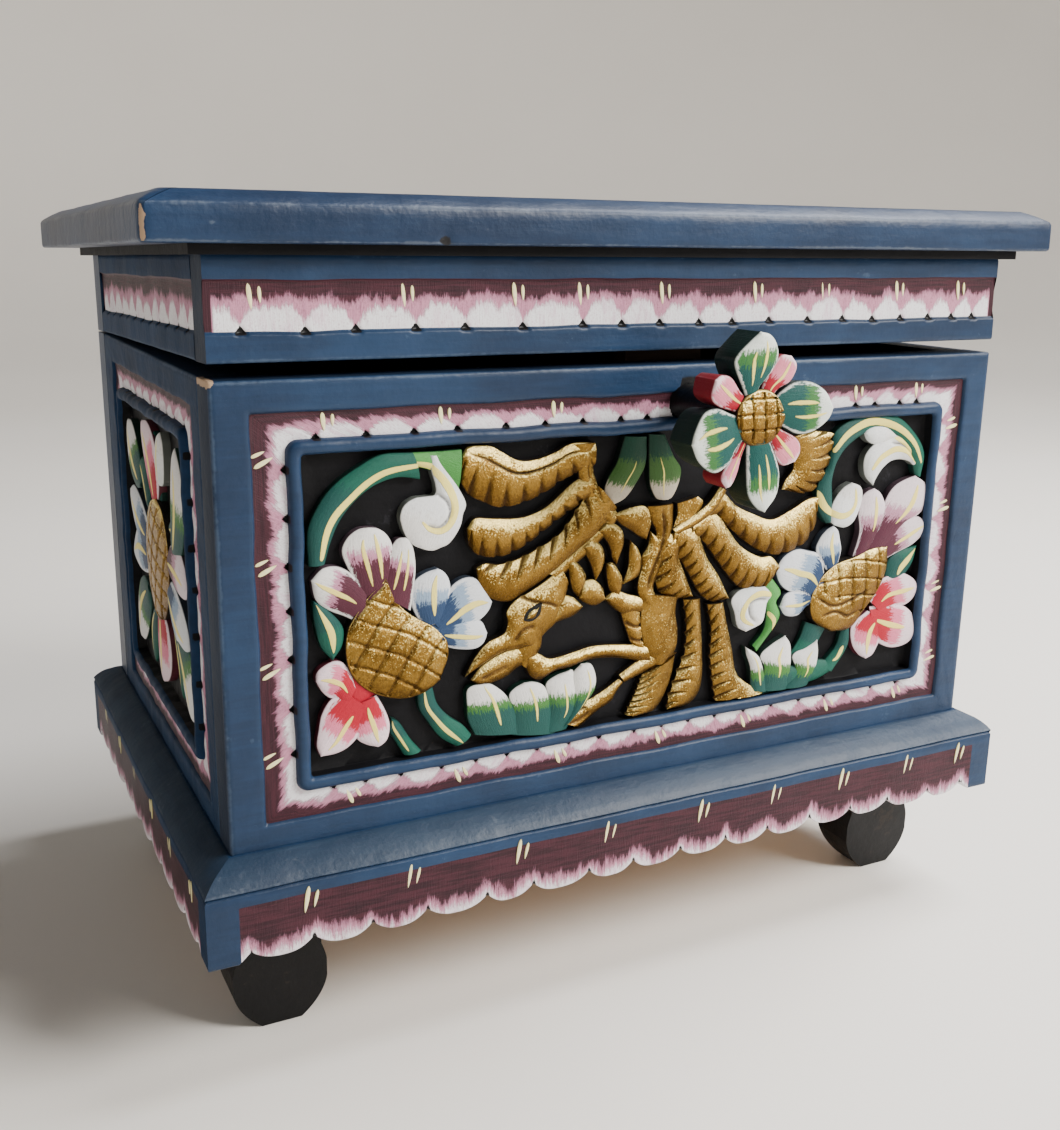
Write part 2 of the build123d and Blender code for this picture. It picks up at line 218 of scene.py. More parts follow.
def outward_faces(points):
    """A closed grid's quads, turned round where the volume about its middle comes out below 0."""
    faces = grid_faces(*points.shape[:2])
    flat = points.reshape(-1, 3)
    return faces[:, ::-1] if signed_volume(flat - flat.mean(axis=0), faces) < 0 else faces


def close_ends(points):
    """Adds a first and a last row, whose points all lie at the mean of the row beside them."""
    middles = points.mean(axis=1, keepdims=True) + 0 * points
    return np.concatenate([middles[:1], points, middles[-1:]])


def turned(radii, rises):
    """A profile turned about an upright axis: (r cos a, r sin a, rise) for 97 angles a."""
    turns = np.linspace(0, 2 * np.pi, 97)
    radii, rises = np.array(radii)[:, None], np.array(rises)[:, None]
    return np.stack([radii * np.cos(turns), radii * np.sin(turns), rises + 0 * turns], axis=-1)


rod = turned([0, 1, 1, 0], [0, 0, 10, 10])
print("a rod of radius 1 and length 10 has the volume", signed_volume(rod.reshape(-1, 3), outward_faces(rod)))

# %% [markdown]
# ## Joining grids into a piece
# On the real box a flower is many carved shapes in one board. Here they are grids that
# are joined into one mesh, because one piece is easier to paint and to move than
# many. Merging the points that coincide closes each seam and each pole.

# %% One mesh from many grids


def weld(mesh):
    """Merges points that are closer than the weld distance, and drops the faces that this empties."""
    merged = bmesh.new()
    merged.from_mesh(mesh)
    bmesh.ops.remove_doubles(merged, verts=merged.verts, dist=weld_mm / 1000)
    bmesh.ops.dissolve_degenerate(merged, edges=merged.edges, dist=weld_mm / 4000)
    merged.to_mesh(mesh)
    merged.free()


def joined_mesh(name, grids, materials):
    """One mesh, in metres, of all the grids, with their UVs, material indices and attributes."""
    points, faces, uvs, tones, paints = [], [], [], [], {}
    start = 0
    for part in grids:
        rows, cols = part["points"].shape[:2]
        points.append(part["points"].reshape(-1, 3))
        faces.append(outward_faces(part["points"]) + start)
        uvs.append(part["uv"].reshape(-1, 2))
        tones.append(np.broadcast_to(np.asarray(part["tone"]), (rows - 1, cols - 1)).reshape(-1))
        for key, value in part["paints"].items():
            spread = np.broadcast_to(value, (rows, cols, 4)).reshape(-1, 4)
            paints.setdefault(key, []).append((start, spread))
        start += rows * cols
    points, faces = np.concatenate(points), np.concatenate(faces)
    mesh = bpy.data.meshes.new(name)
    mesh.from_pydata(points / 1000, [], faces.tolist())
    loop_points = np.empty(len(mesh.loops), dtype=np.int32)
    mesh.loops.foreach_get("vertex_index", loop_points)
    layer = mesh.uv_layers.new(name="along")
    layer.data.foreach_set("uv", np.concatenate(uvs)[loop_points].ravel())
    mesh.polygons.foreach_set("material_index", np.concatenate(tones).astype(np.int32))
    for key, pieces in paints.items():
        values = np.zeros((len(points), 4))
        for first, value in pieces:
            values[first:first + len(value)] = value
        mesh.attributes.new(key, "FLOAT_COLOR", "POINT").data.foreach_set("color", values.ravel())
    for material in materials:
        mesh.materials.append(material)
    weld(mesh)
    return mesh


def bored(piece, bore):
    """The piece's mesh less a cylinder along Y: two rings at the radius, each drawn in to its middle."""
    rings = turned([0, bore["radius"], bore["radius"], 0], np.repeat([bore["front"], bore["back"]], 2))
    points = rings[..., [0, 2, 1]] + np.array([bore["x"], 0, bore["z"]])
    faces = outward_faces(points)
    mesh = bpy.data.meshes.new("bore")
    mesh.from_pydata(points.reshape(-1, 3) / 1000, [], faces.tolist())
    mesh.polygons.foreach_set("material_index", np.full(len(faces), bore["tone"], np.int32))
    weld(mesh)
    tool = add_object("bore", mesh)
    cut = piece.modifiers.new("bore", "BOOLEAN")
    cut.operation = "DIFFERENCE"
    cut.solver = "EXACT"
    cut.object = tool
    bpy.context.view_layer.update()
    result = bpy.data.meshes.new_from_object(piece.evaluated_get(bpy.context.evaluated_depsgraph_get()))
    piece.modifiers.clear()
    bpy.data.objects.remove(tool)
    return result


def make_piece(name, grids, materials, body, sharp_deg, replaces=(), bore=None):
    """Makes the grids one object that rides on a body; edges sharper than the angle stay crisp."""
    mesh = joined_mesh(name, grids, materials)
    piece = add_object(name, mesh)
    if bore:
        piece.data = bored(piece, bore)
        print(name, "bored:", len(mesh.vertices), "points became", len(piece.data.vertices))
    piece.data.shade_smooth()
    piece.data.set_sharp_from_angle(angle=math.radians(sharp_deg))
    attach(piece, body)
    if replaces:
        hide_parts(*replaces)
    print(name, "has", len(piece.data.polygons), "faces from", len(grids), "grid(s)")
    return piece


print("points closer than", weld_mm, "mm are merged")

# %% [markdown]
# ## Lines drawn by hand
# A hand-cut line wavers gently. Random numbers alone would make it ragged; a few sines
# with random pitches swing, and the same seed always gives the same line.

# %% Wavering lines and smooth lines


def ripple(x, seed, pitch=40.0):
    """Smooth waver between about -1 and 1: four sines whose pitches and phases come from the seed."""
    draw = np.random.default_rng(seed)
    wave = np.zeros_like(np.asarray(x, float))
    for step in range(4):
        length = pitch / (1.0 + 0.8 * step) * draw.uniform(0.8, 1.25)
        wave += np.sin(2 * np.pi * (x / length + draw.uniform())) / (1 + step)
    return wave / 1.6


def smooth_line(points, count):
    """Catmull-Rom curve through the points, cut into steps of equal length."""
    points = np.asarray(points, float)
    padded = np.concatenate([2 * points[:1] - points[1:2], points, 2 * points[-1:] - points[-2:-1]])
    a, b, c, d = padded[:-3, None], padded[1:-2, None], padded[2:-1, None], padded[3:, None]
    t = np.linspace(0, 1, 12, endpoint=False)[None, :, None]
    bend, twist = 2 * a - 5 * b + 4 * c - d, 3 * b - a - 3 * c + d
    curve = 0.5 * (2 * b + (c - a) * t + bend * t**2 + twist * t**3)
    points = np.concatenate([curve.reshape(-1, points.shape[-1]), points[-1:]])
    steps = np.concatenate([[0], np.cumsum(np.linalg.norm(np.diff(points, axis=0), axis=1))])
    wanted = np.linspace(0, steps[-1], count)
    return np.stack([np.interp(wanted, steps, column) for column in points.T], axis=-1)


print("a ripple's reach:", np.abs(ripple(np.arange(400.0), 1)).max().round(2))
print("three marks smoothed:", smooth_line([(0, 0), (10, 5), (20, 0)], 5).round(1).tolist())

# %% [markdown]
# ## Writing shader maths as sums
# A material is a graph of nodes. This small class wraps one output socket, so that
# `1 - mask * 2` adds the Math nodes by itself. Colours go through Mix nodes, because
# a Math node would turn them grey.

# %% Shader helper


class Wire:
    """A node's output socket that can be added, multiplied and compared like a number."""

    def __init__(self, tree, socket):
        self.tree = tree
        self.socket = socket

    def maths(self, operation, *others):
        """A Math node on this wire and the others."""
        node = self.tree.nodes.new("ShaderNodeMath")
        node.operation = operation
        for place, value in enumerate((self, *others)):
            plug(self.tree, value, node.inputs[place])
        return Wire(self.tree, node.outputs[0])

    def __add__(self, other):
        return self.maths("ADD", other)

    def __sub__(self, other):
        return self.maths("SUBTRACT", other)

    def __mul__(self, other):
        return self.maths("MULTIPLY", other)

    def __truediv__(self, other):
        return self.maths("DIVIDE", other)

    def __rsub__(self, other):
        return (self * -1.0).maths("ADD", other)

    __radd__ = __add__
    __rmul__ = __mul__

    def step(self, low, high):
        """0 below low, 1 above high and a smooth S between them."""
        settings = {"interpolation_type": "SMOOTHSTEP"}
        return add_node(self.tree, "ShaderNodeMapRange", settings, {0: self, 1: low, 2: high})


def plug(tree, value, socket):
    """Links a wire to a socket, or sets the socket's own value."""
    if isinstance(value, Wire):
        tree.links.new(value.socket, socket)
    else:
        socket.default_value = value


def add_node(tree, kind, settings=None, inputs=None, output=0):
    """Adds any node: settings first, then the values or links of its sockets."""
    node = tree.nodes.new(kind)
    for key, value in (settings or {}).items():
        setattr(node, key, value)
    for key, value in (inputs or {}).items():
        plug(tree, value, node.inputs[key])
    return Wire(tree, node.outputs[output])


def paint(red, green, blue):
    """A paint colour given as on a screen, 0 to 255, turned into linear light."""
    shares = np.array([red, green, blue]) / 255
    linear = np.where(shares <= 0.04045, shares / 12.92, ((shares + 0.055) / 1.055) ** 2.4)
    return (*[float(value) for value in linear], 1.0)


class Finish:
    """A material in the making: its node tree, its patterns and the sockets of its shader."""

    def __init__(self, name):
        self.material = bpy.data.materials.new(name)
        self.material.use_nodes = True
        self.tree = self.material.node_tree
        self.shader = self.tree.nodes["Principled BSDF"]
        self.place = add_node(self.tree, "ShaderNodeTexCoord", output=3)
        self.along = add_node(self.tree, "ShaderNodeUVMap", {"uv_map": "along"})

    def split(self, vector):
        """The three numbers of a vector or a colour."""
        node = self.tree.nodes.new("ShaderNodeSeparateXYZ")
        plug(self.tree, vector, node.inputs[0])
        return [Wire(self.tree, output) for output in node.outputs]

    def join(self, x, y, z=0.0):
        """A vector of three numbers."""
        return add_node(self.tree, "ShaderNodeCombineXYZ", None, {0: x, 1: y, 2: z})

    def scaled(self, vector, factors):
        """Each coordinate times its own factor, to stretch a pattern."""
        settings = {"operation": "MULTIPLY"}
        return add_node(self.tree, "ShaderNodeVectorMath", settings, {0: vector, 1: factors})

    def noise(self, vector, scale=1.0, detail=3.0, rough=0.55, distort=0.0):
        """Cloudy noise about 0.5: scale counts its lumps in a metre, detail adds finer ones."""
        sockets = {"Vector": vector, "Scale": scale, "Detail": detail, "Roughness": rough}
        return add_node(self.tree, "ShaderNodeTexNoise", None, {**sockets, "Distortion": distort})

    def mix(self, first, second, factor):
        """Colour that goes from the first to the second as the factor goes from 0 to 1."""
        sockets = {0: factor, 6: first, 7: second}
        return add_node(self.tree, "ShaderNodeMix", {"data_type": "RGBA"}, sockets, output=2)

    def attribute(self, name):
        """A colour attribute: its colour, and its alpha as a number."""
        node = self.tree.nodes.new("ShaderNodeAttribute")
        node.attribute_name = name
        return Wire(self.tree, node.outputs["Color"]), Wire(self.tree, node.outputs["Alpha"])

    def done(self, color, rough=0.5, height=None, depth=0.0002, metal=0.0, shine=0.2):
        """Feeds the shader; height in 0..1 is embossed to the depth in metres."""
        plug(self.tree, color, self.shader.inputs["Base Color"])
        plug(self.tree, rough, self.shader.inputs["Roughness"])
        plug(self.tree, metal, self.shader.inputs["Metallic"])
        self.shader.inputs["Specular IOR Level"].default_value = shine
        if height is not None:
            sockets = {"Strength": 1.0, "Distance": depth, "Height": height}
            plug(self.tree, add_node(self.tree, "ShaderNodeBump", None, sockets),
                 self.shader.inputs["Normal"])
        print(self.material.name, "is a graph of", len(self.tree.nodes), "nodes")
        return self.material


print("a mid grey of 128 is", round(paint(128, 128, 128)[0], 3), "in linear light")

# %% [markdown]
# ## Board paints
# The blue is laid on thickly with a flat brush: slightly uneven in tone, with fine
# streaks along the boards, tiny pits and rubbed arrises. Streaks are noise stretched
# in one direction; rubbed spots are noise with a threshold. Noise alone would rub any
# place alike, so each board also carries an attribute, arris: red where an arris gets
# knocked, green where a chip is cut, blue where the wood is bare. The boards' ends get
# a darker, greyer blue as painted shade, and the carving's ground and the feet are black.

# %% Blue and black board paint
blue = paint(29, 54, 84)
deep_blue = paint(20, 38, 62)
pale_blue_dust = paint(84, 102, 124)
raw_wood = paint(168, 142, 116)
cream = paint(238, 221, 118)
white = paint(226, 226, 230)
maroon = paint(64, 30, 40)
pink = paint(184, 128, 150)
chip_dark = paint(16, 16, 18)
side_streak = (60.0, 6.0, 60.0)


def board_paint(name, light, dark, worn, wear_share=0.62, streak=(6.0, 60.0, 60.0), rough=0.42, shine=0.24):
    """Brushed board paint: tone = large noise, streaks = stretched noise, wear = noise over a threshold."""
    finish = Finish(name)
    cloud = finish.noise(finish.place, 14.0, 4.0, 0.6)
    streaks = finish.noise(finish.scaled(finish.place, streak), 6.0, 4.0, 0.65)
    fine = finish.noise(finish.place, 420.0, 3.0, 0.6)
    lumps = finish.noise(finish.place, 90.0, 3.0, 0.5)
    patches = finish.noise(finish.place, 26.0, 4.0, 0.6)
    specks = finish.noise(finish.place, 55.0, 5.0, 0.7)
    red, green, bare = finish.split(finish.attribute("arris")[0])
    color = finish.mix(dark, light, (cloud * 0.7 + streaks * 0.3).step(0.32, 0.68))
    rubs = (specks * 0.7 + fine * 0.3).step(wear_share, wear_share + 0.06)
    color = finish.mix(color, worn, rubs * 0.25)
    scuff = (red * 0.42 + fine * 0.3 + patches * 0.62).step(0.78, 0.94) * red.step(0.05, 0.4)
    color = finish.mix(color, worn, scuff * 0.32)
    color = finish.mix(color, raw_wood, (bare * 0.7 + fine * 0.35 + lumps * 0.4).step(0.8, 0.84))
    color = finish.mix(color, chip_dark, green.step(0.35, 0.6))
    gloss = 0.06 * streaks + (rough - 0.03) + rubs * 0.12
    height = lumps * 0.65 + streaks * 0.15 + fine * 0.2
    return finish.done(color, gloss, height, 0.0007, shine=shine)


blue_paint = board_paint("blue_board_paint", blue, deep_blue, pale_blue_dust)
side_blue_paint = board_paint("blue_side_board_paint", blue, deep_blue, pale_blue_dust, streak=side_streak,
                              rough=0.55, shine=0.06)
# The boards' ends and backs: a darker, greyer blue, as painted shade.
edge_shade_paint = board_paint("blue_edge_paint", paint(30, 44, 64), paint(22, 33, 50), paint(70, 80, 94),
                         rough=0.55, shine=0.1)
lid_paint = board_paint("lid_board_paint", paint(28, 51, 80), paint(19, 36, 60), paint(108, 118, 130), 0.62)
black_paint = board_paint("black_foot_paint", paint(17, 17, 19), paint(8, 8, 9), paint(74, 62, 52), 0.57,
                          rough=0.42, shine=0.2)
ground_and_shade_paint = board_paint("black_ground_paint", paint(20, 20, 23), paint(9, 9, 11), paint(62, 62, 68), 0.6,
                           rough=0.55, shine=0.1)

# %% [markdown]
# ## Brushed borders
# The sunk border round each panel is maroon, brushed over with pink and then with
# white in short strokes that start at the bead. The strokes run across the border, so
# the noise is stretched across it: the piece's UV map gives U in millimetres along
# the border and V from 0 at its outer edge to 1 at the bead. The maroon's own streaks
# follow V too, but on the plinth V follows the scallops, so there they go by height.

# %% Brushed border paint


def brushed_border(name, pink_from, white_from, lobe, level_drag=False):
    """Maroon, then pink, then white as V grows: V + bristle noise against two thresholds, lobes of white."""
    finish = Finish(name)
    streak_depth = 0.6
    u, v, _ = finish.split(finish.along)
    strokes = finish.noise(finish.join(u * 0.5, v * 1.8), 1.0, 5.0, 0.75)
    bristles = finish.noise(finish.join(u * 2.0, v * 3.0), 1.0, 3.0, 0.6)
    broad = finish.noise(finish.join(u * 0.1, v * 0.5), 1.0, 2.0, 0.5)
    fine = finish.noise(finish.place, 1300.0, 2.0, 0.6)
    spots, swell = finish.attribute("arris")
    _, green, _ = finish.split(spots)
    torn = v + (strokes - 0.5) * streak_depth + (bristles - 0.5) * streak_depth * 0.45 + (broad - 0.5) * 0.6
    pinks = torn.step(pink_from - 0.07, pink_from + 0.1)
    whites = (torn + (swell - 0.6) * lobe).step(white_from - 0.05, white_from + 0.1)
    thin = (bristles * 0.4 + fine * 0.6).step(0.48, 0.66)
    _, _, above_floor = finish.split(finish.place)
    drag_line = above_floor * 700.0 if level_drag else v * 16.0
    drag = finish.noise(finish.join(u * 0.05, drag_line), 1.0, 4.0, 0.7)
    base = finish.mix(maroon, paint(42, 21, 29), drag.step(0.4, 0.62))
    rose_tone = finish.mix(pink, paint(150, 98, 124), (bristles * 0.5 + strokes * 0.5).step(0.45, 0.7))
    pale_tone = finish.mix(white, paint(206, 176, 194), (strokes * 0.5 + broad * 0.5).step(0.5, 0.66) * 0.8)
    color = finish.mix(base, rose_tone, pinks * (1 - thin * 0.3))
    color = finish.mix(color, pale_tone, whites * (1 - thin * 0.35))
    color = finish.mix(color, chip_dark, green.step(0.3, 0.5))
    height = bristles * 0.3 + strokes * 0.3 + whites * 0.25 + fine * 0.15
    return finish.done(color, 0.5, height, 0.0006)


panel_border = brushed_border("brushed_panel_border", 0.38, 0.7, 0.4)
rail_border = brushed_border("brushed_rail_border", 0.34, 0.66, 0.38)
plinth_border = brushed_border("brushed_plinth_border", 0.77, 0.9, 0.0, level_drag=True)

# %% [markdown]
# ## Gold
# The gold is bronze powder in varnish over brown, with bright grains. Its colour also
# holds painted light: a painted highlight where the surface faces up, painted shade where
# it faces down, and in the cuts and on the walls a brown that turns near black, partly
# the brown ground and partly painted shade. A mirror-like metal would look cast, so the
# metal part drops in the cuts and the grains stay coarse. The lean of the surface, worked
# out with the shape, is in the red of its arris attribute, and the cuts are in the green.

# %% Gold paint


def gold_paint(name):
    """Bronze: painted highlight facing up, painted shade facing down, grains by noise, brown ground and
    painted shade in cuts.
    """
    finish = Finish(name)
    cloud = finish.noise(finish.place, 60.0, 4.0, 0.6)
    grain = finish.noise(finish.place, 1350.0, 2.0, 0.6)
    leaf_folds = finish.noise(finish.place, 260.0, 4.0, 0.65)
    folds = (cloud * 0.6 + leaf_folds * 0.4).step(0.34, 0.62)
    color = finish.mix(paint(98, 71, 27), paint(142, 109, 48), folds)
    lean, green, _ = finish.split(finish.attribute("arris")[0])
    loose = (grain - 0.5) * 0.8 + (leaf_folds - 0.5) * 0.8 + (cloud - 0.5) * 0.5
    # Painted highlight: the colour brightens where the surface faces up.
    color = finish.mix(color, paint(250, 226, 140), (lean + loose).step(0.6, 0.9) * 0.6)
    # Painted glints: bright grains, more of them where the surface faces up.
    color = finish.mix(color, paint(252, 226, 140), (grain * 0.7 + lean * 0.3).step(0.56, 0.64) * 0.5)
    # Painted shade: the colour darkens where the surface faces down.
    color = finish.mix(color, paint(70, 46, 18), (1 - lean + loose).step(0.55, 0.86) * 0.7)
    # Cuts and walls: brown, near black where deepest, partly the brown ground and partly painted shade.
    color = finish.mix(color, paint(78, 52, 20), green.step(0.1, 0.6) * 0.85)
    color = finish.mix(color, paint(20, 15, 10), green.step(0.62, 1.0))
    rough = 0.24 + grain * 0.14 + green * 0.35
    height = leaf_folds * 0.55 + grain * 0.45
    return finish.done(color, rough, height, 0.001, 1.0 - green * 0.85)


gold = gold_paint("bronze_gold_paint")

# %% [markdown]
# ## The painted carving
# The flowers and leaves are painted wet on wet, from a dark root through a middle
# colour to a white brushed tip. Each could have a material of its own, but one serves
# them all: each carved shape carries its own colours as attributes, and its UV map
# says how far a point lies along the shape (0 to 1) and across it (-1 to 1).

# %% Carving paint


def carving_paint(name):
    """Root, middle and rim colours by the share of the way along the shape, torn by strokes, and a wall."""
    finish = Finish(name)
    s, t, _ = finish.split(finish.along)
    root, middle_at = finish.attribute("root")
    middle, rim_at = finish.attribute("middle")
    rim, rim_side = finish.attribute("rim")
    wall, wall_share = finish.attribute("wall")
    grain_x, grain_y, _ = finish.split(finish.attribute("grain")[0])
    streaks = finish.noise(finish.join(grain_x * 0.25, grain_y * 1.6), 1.0, 4.0, 0.7)
    fine = finish.noise(finish.place, 900.0, 3.0, 0.6)
    torn = (streaks - 0.5) * 0.4 + (fine - 0.5) * 0.2
    side = t.maths("ABSOLUTE") * rim_side
    middles = (s + torn - middle_at).step(-0.03, 0.035)
    rims = (s.maths("MAXIMUM", side) + torn * 0.8 - rim_at).step(-0.035, 0.045)
    color = finish.mix(finish.mix(root, middle, middles), rim, rims)
    hollows = (fine * 0.6 + streaks * 0.4).step(0.5, 0.64)
    color = finish.mix(color, finish.scaled(color, (0.72, 0.72, 0.74)), hollows * 0.5)
    lines = None
    for key in ("stroke_one", "stroke_two"):
        spot, last = finish.attribute(key)
        across, half, first = finish.split(spot)
        part = (s - first) / (last - first)
        swell = (part * (1 - part)).maths("MAXIMUM", 0.0) * 4.0
        bend = (s * 3.0).maths("SINE") * 0.08
        gap = (t - across - bend).maths("ABSOLUTE")
        line = (half * swell.maths("POWER", 0.45) - gap + (fine - 0.5) * 0.05).step(-0.02, 0.03)
        line = line * swell.step(0.0, 0.05)
        lines = line if lines is None else lines.maths("MAXIMUM", line)
    drawn, cut, _ = finish.split(finish.attribute("brush")[0])
    lines = lines.maths("MAXIMUM", (drawn + (fine - 0.5) * 0.25).step(-0.05, 0.15))
    # Painted shade in the cuts: the colour drops to 0.3 of itself.
    color = finish.mix(color, finish.scaled(color, (0.3, 0.3, 0.3)), cut.step(0.1, 0.9))
    color = finish.mix(color, cream, lines * 0.94)
    color = finish.mix(color, wall, wall_share)
    height = streaks * 0.4 + fine * 0.2 + lines * 0.4
    return finish.done(color, 0.5, height, 0.0006)


carved_paint = carving_paint("carved_flower_paint")

# %% [markdown]
# ## Boards with a sunk border, a bead and a hollow
# A carved board is a stack of rounded rectangles, like contour lines: the back, the
# rim, the flat border, the sunk strip, the round bead and the hollow. Each rectangle
# has the same number of points, so the stack is one closed grid. Booleans would give
# the same steps, but dead straight ones, and in hand-cut wood every line wavers.

# %% Stacks of round-cornered rectangles


def inset(box, side, low=None, high=None):
    """The box (u_low, u_high, v_low, v_high) drawn in; one number alone draws in all four edges."""
    low, high = (side, side) if low is None else (low, high)
    return (box[0] + side, box[1] - side, box[2] + low, box[3] - high)


def spine(box, short):
    """The box's middle line, cut short at both ends: a rectangle without height, where a stack ends."""
    middle_v = (box[2] + box[3]) / 2
    return (box[0] + short, box[1] - short, middle_v, middle_v)


def rounded_rectangle(box, radius, steps):
    """Points round a box whose corners are quarter circles, anticlockwise, the first point repeated."""
    u_low, u_high, v_low, v_high = box
    radius = min(radius, (u_high - u_low) / 2, (v_high - v_low) / 2)
    along, up, turn = steps
    corners = [(u_high - radius, v_low + radius, -90), (u_high - radius, v_high - radius, 0),
               (u_low + radius, v_high - radius, 90), (u_low + radius, v_low + radius, 180)]
    rows = []
    last = np.array([u_low + radius, v_low])
    for (u, v, angle), count in zip(corners, (along, up, along, up)):
        turn_to = np.radians(np.linspace(angle, angle + 90, turn))
        arc = np.stack([u + radius * np.cos(turn_to), v + radius * np.sin(turn_to)], axis=-1)
        rows.append(np.linspace(last, arc[0], count, endpoint=False))
        rows.append(arc)
        last = arc[-1]
    rows.append(rows[0][:1])
    return np.concatenate(rows)


def contour_stack(rings, steps, waver, seed):
    """Stacks rings (box, corner radius, W, looseness): rows = rings, columns = points round them.

    Each point moves away from the middle, and up, by waver * looseness * ripple of the way round.
    """
    outlines = np.stack([rounded_rectangle(box, radius, steps) for box, radius, *_ in rings])
    heights, loose = np.array([ring[2:] for ring in rings], float).T[..., None]
    edges = np.linalg.norm(np.diff(outlines[len(rings) // 2], axis=0), axis=1)
    run = np.concatenate([[0], np.cumsum(edges)])
    total = run[-1]
    wave = ripple(run, seed, total / 14) * np.sin(np.pi * run / total) ** 0.25
    away = outlines - outlines.mean(axis=1, keepdims=True)
    away = away / np.maximum(np.linalg.norm(away, axis=-1, keepdims=True), 1e-6)
    outlines = outlines + away * (waver * loose * wave)[..., None]
    level = heights + waver * 0.4 * loose * ripple(run + 31, seed + 5, total / 22)
    return np.concatenate([outlines, level[..., None]], axis=-1), run


print("a square of side 2 gets", len(rounded_rectangle((0, 2, 0, 2), 0.5, (3, 3, 4))), "points")

# %% [markdown]
# ## Chips at the foot of the bead
# Every centimetre and a half a knife has lifted a small triangle, coloured near black,
# and the white paint swells between two of them. Both follow from the distance to the
# nearest chip, so no chip has to be modelled by itself.

# %% Chips and the white between them
swell_reach = 5.0
chip_crispness = 2.6


def nearest(x, places):
    """Distance from every x to the nearest of the places."""
    return np.min([np.abs(x - place) for place in places], axis=0)


def white_swell(away):
    """How far the white swells at a distance from a chip: min(distance / reach, 1)^0.7."""
    return np.clip(away / swell_reach, 0, 1) ** 0.7


def chip_shape(away, rise, half, reach, foot):
    """A triangle: (1 - distance / half) less (rise / reach), sharpened, and fading below its foot."""
    tooth = np.clip(1 - away / half, 0, 1)
    triangle = np.clip((tooth - np.maximum(rise, 0) / reach) * chip_crispness, 0, 1)
    return triangle * np.clip(1 + rise / foot, 0, 1)


def bead_chips(flat, bead, places):
    """Chips that stand on the bead and point into the border, and the swell of white between them."""
    u, v = flat[..., 0], flat[..., 1]
    gaps = np.stack([bead[0] - u, u - bead[1], bead[2] - v, v - bead[3]])
    side, gap = gaps.argmax(axis=0), gaps.max(axis=0)
    by_side = np.stack([nearest(line, spots) for line, spots in zip((v, v, u, u), places)])
    away = np.take_along_axis(by_side, side[None], axis=0)[0]
    return chip_shape(away, gap, 1.9, 2.3, 1.2), white_swell(away)


def spaced(low, high, pitch, seed):
    """Places from low to high, about a pitch apart, each moved a little."""
    count = max(2, round((high - low) / pitch))
    return np.linspace(low, high, count) + 1.8 * ripple(np.arange(count) * 9.0, seed)


print("chips up a side stand at", spaced(122, 228, 15, 5).round(1))

# %% [markdown]
# ## One carved board
# The rings go from the back of the board over its rim into the hollow. The insets
# were measured in the photograph: the border is 10 to 12 mm wide, the bead 5.6 mm. The
# border, the hollow's ground and the board's ends have paints of their own.

# %% Rings of a carved board
strip_inset = (13.2, 8.8, 11.0)
border_widths = np.array([12.3, 10.8, 9.9])
bead_width = 5.6
border_shares = np.array([0, 0.1, 0.2, 0.3, 0.4, 0.5, 0.6, 0.69, 0.75, 0.8, 0.85, 0.9, 0.95, 1.0])
bead_section = ((0.12, -1.0), (0.35, 0.0), (0.8, 0.75), (1.5, 1.3), (2.8, 1.6), (4.1, 1.3), (4.9, 0.7),
                (5.35, -0.4))


def board_rings(outer, strip, bead):
    """Rings from the back to the hollow; with them the numbers of the border's ends and the bead's end."""
    hollow = inset(bead, bead_width)
    rim = ((outer, 0.25, 0.6, -0.45, 0), (outer, 0.9, 1.0, -0.05, 0.1), (outer, 2.5, 1.0, 0.0, 0.2),
           (strip, -2.0, 1.5, 0.0, 1), (strip, -0.7, 1.2, 0.0, 1), (strip, 0, 0.8, -0.35, 1),
           (strip, 0.5, 0.8, -1.4, 1))
    ground = ((bead, 5.55, 1.2, -recess_depth + 0.4, 1), (bead, 5.9, 1.2, -recess_depth, 0.5),
              (hollow, 6, 1.0, -recess_depth, 0))
    rings = [(spine(outer, 30), 0, -board_thick, 0), (outer, 0.2, -board_thick, 0), (outer, 0.5, -1.2, 0)]
    rings += [(inset(box, by), *rest) for box, by, *rest in rim]
    border_first = len(rings) - 1
    for share in border_shares[1:]:
        rings.append((inset(strip, *(border_widths * share)), 0.8 + 3.6 * share**3, -1.5, 1))
    border_last = len(rings) - 1
    rings += [(inset(bead, by), 4.4 - 0.6 * by, height, 1) for by, height in bead_section]
    bead_last = len(rings) - 1
    rings += [(inset(box, by), *rest) for box, by, *rest in ground]
    rings.append((spine(hollow, 40), 0, -recess_depth, 0))
    return rings, border_first, border_last, bead_last


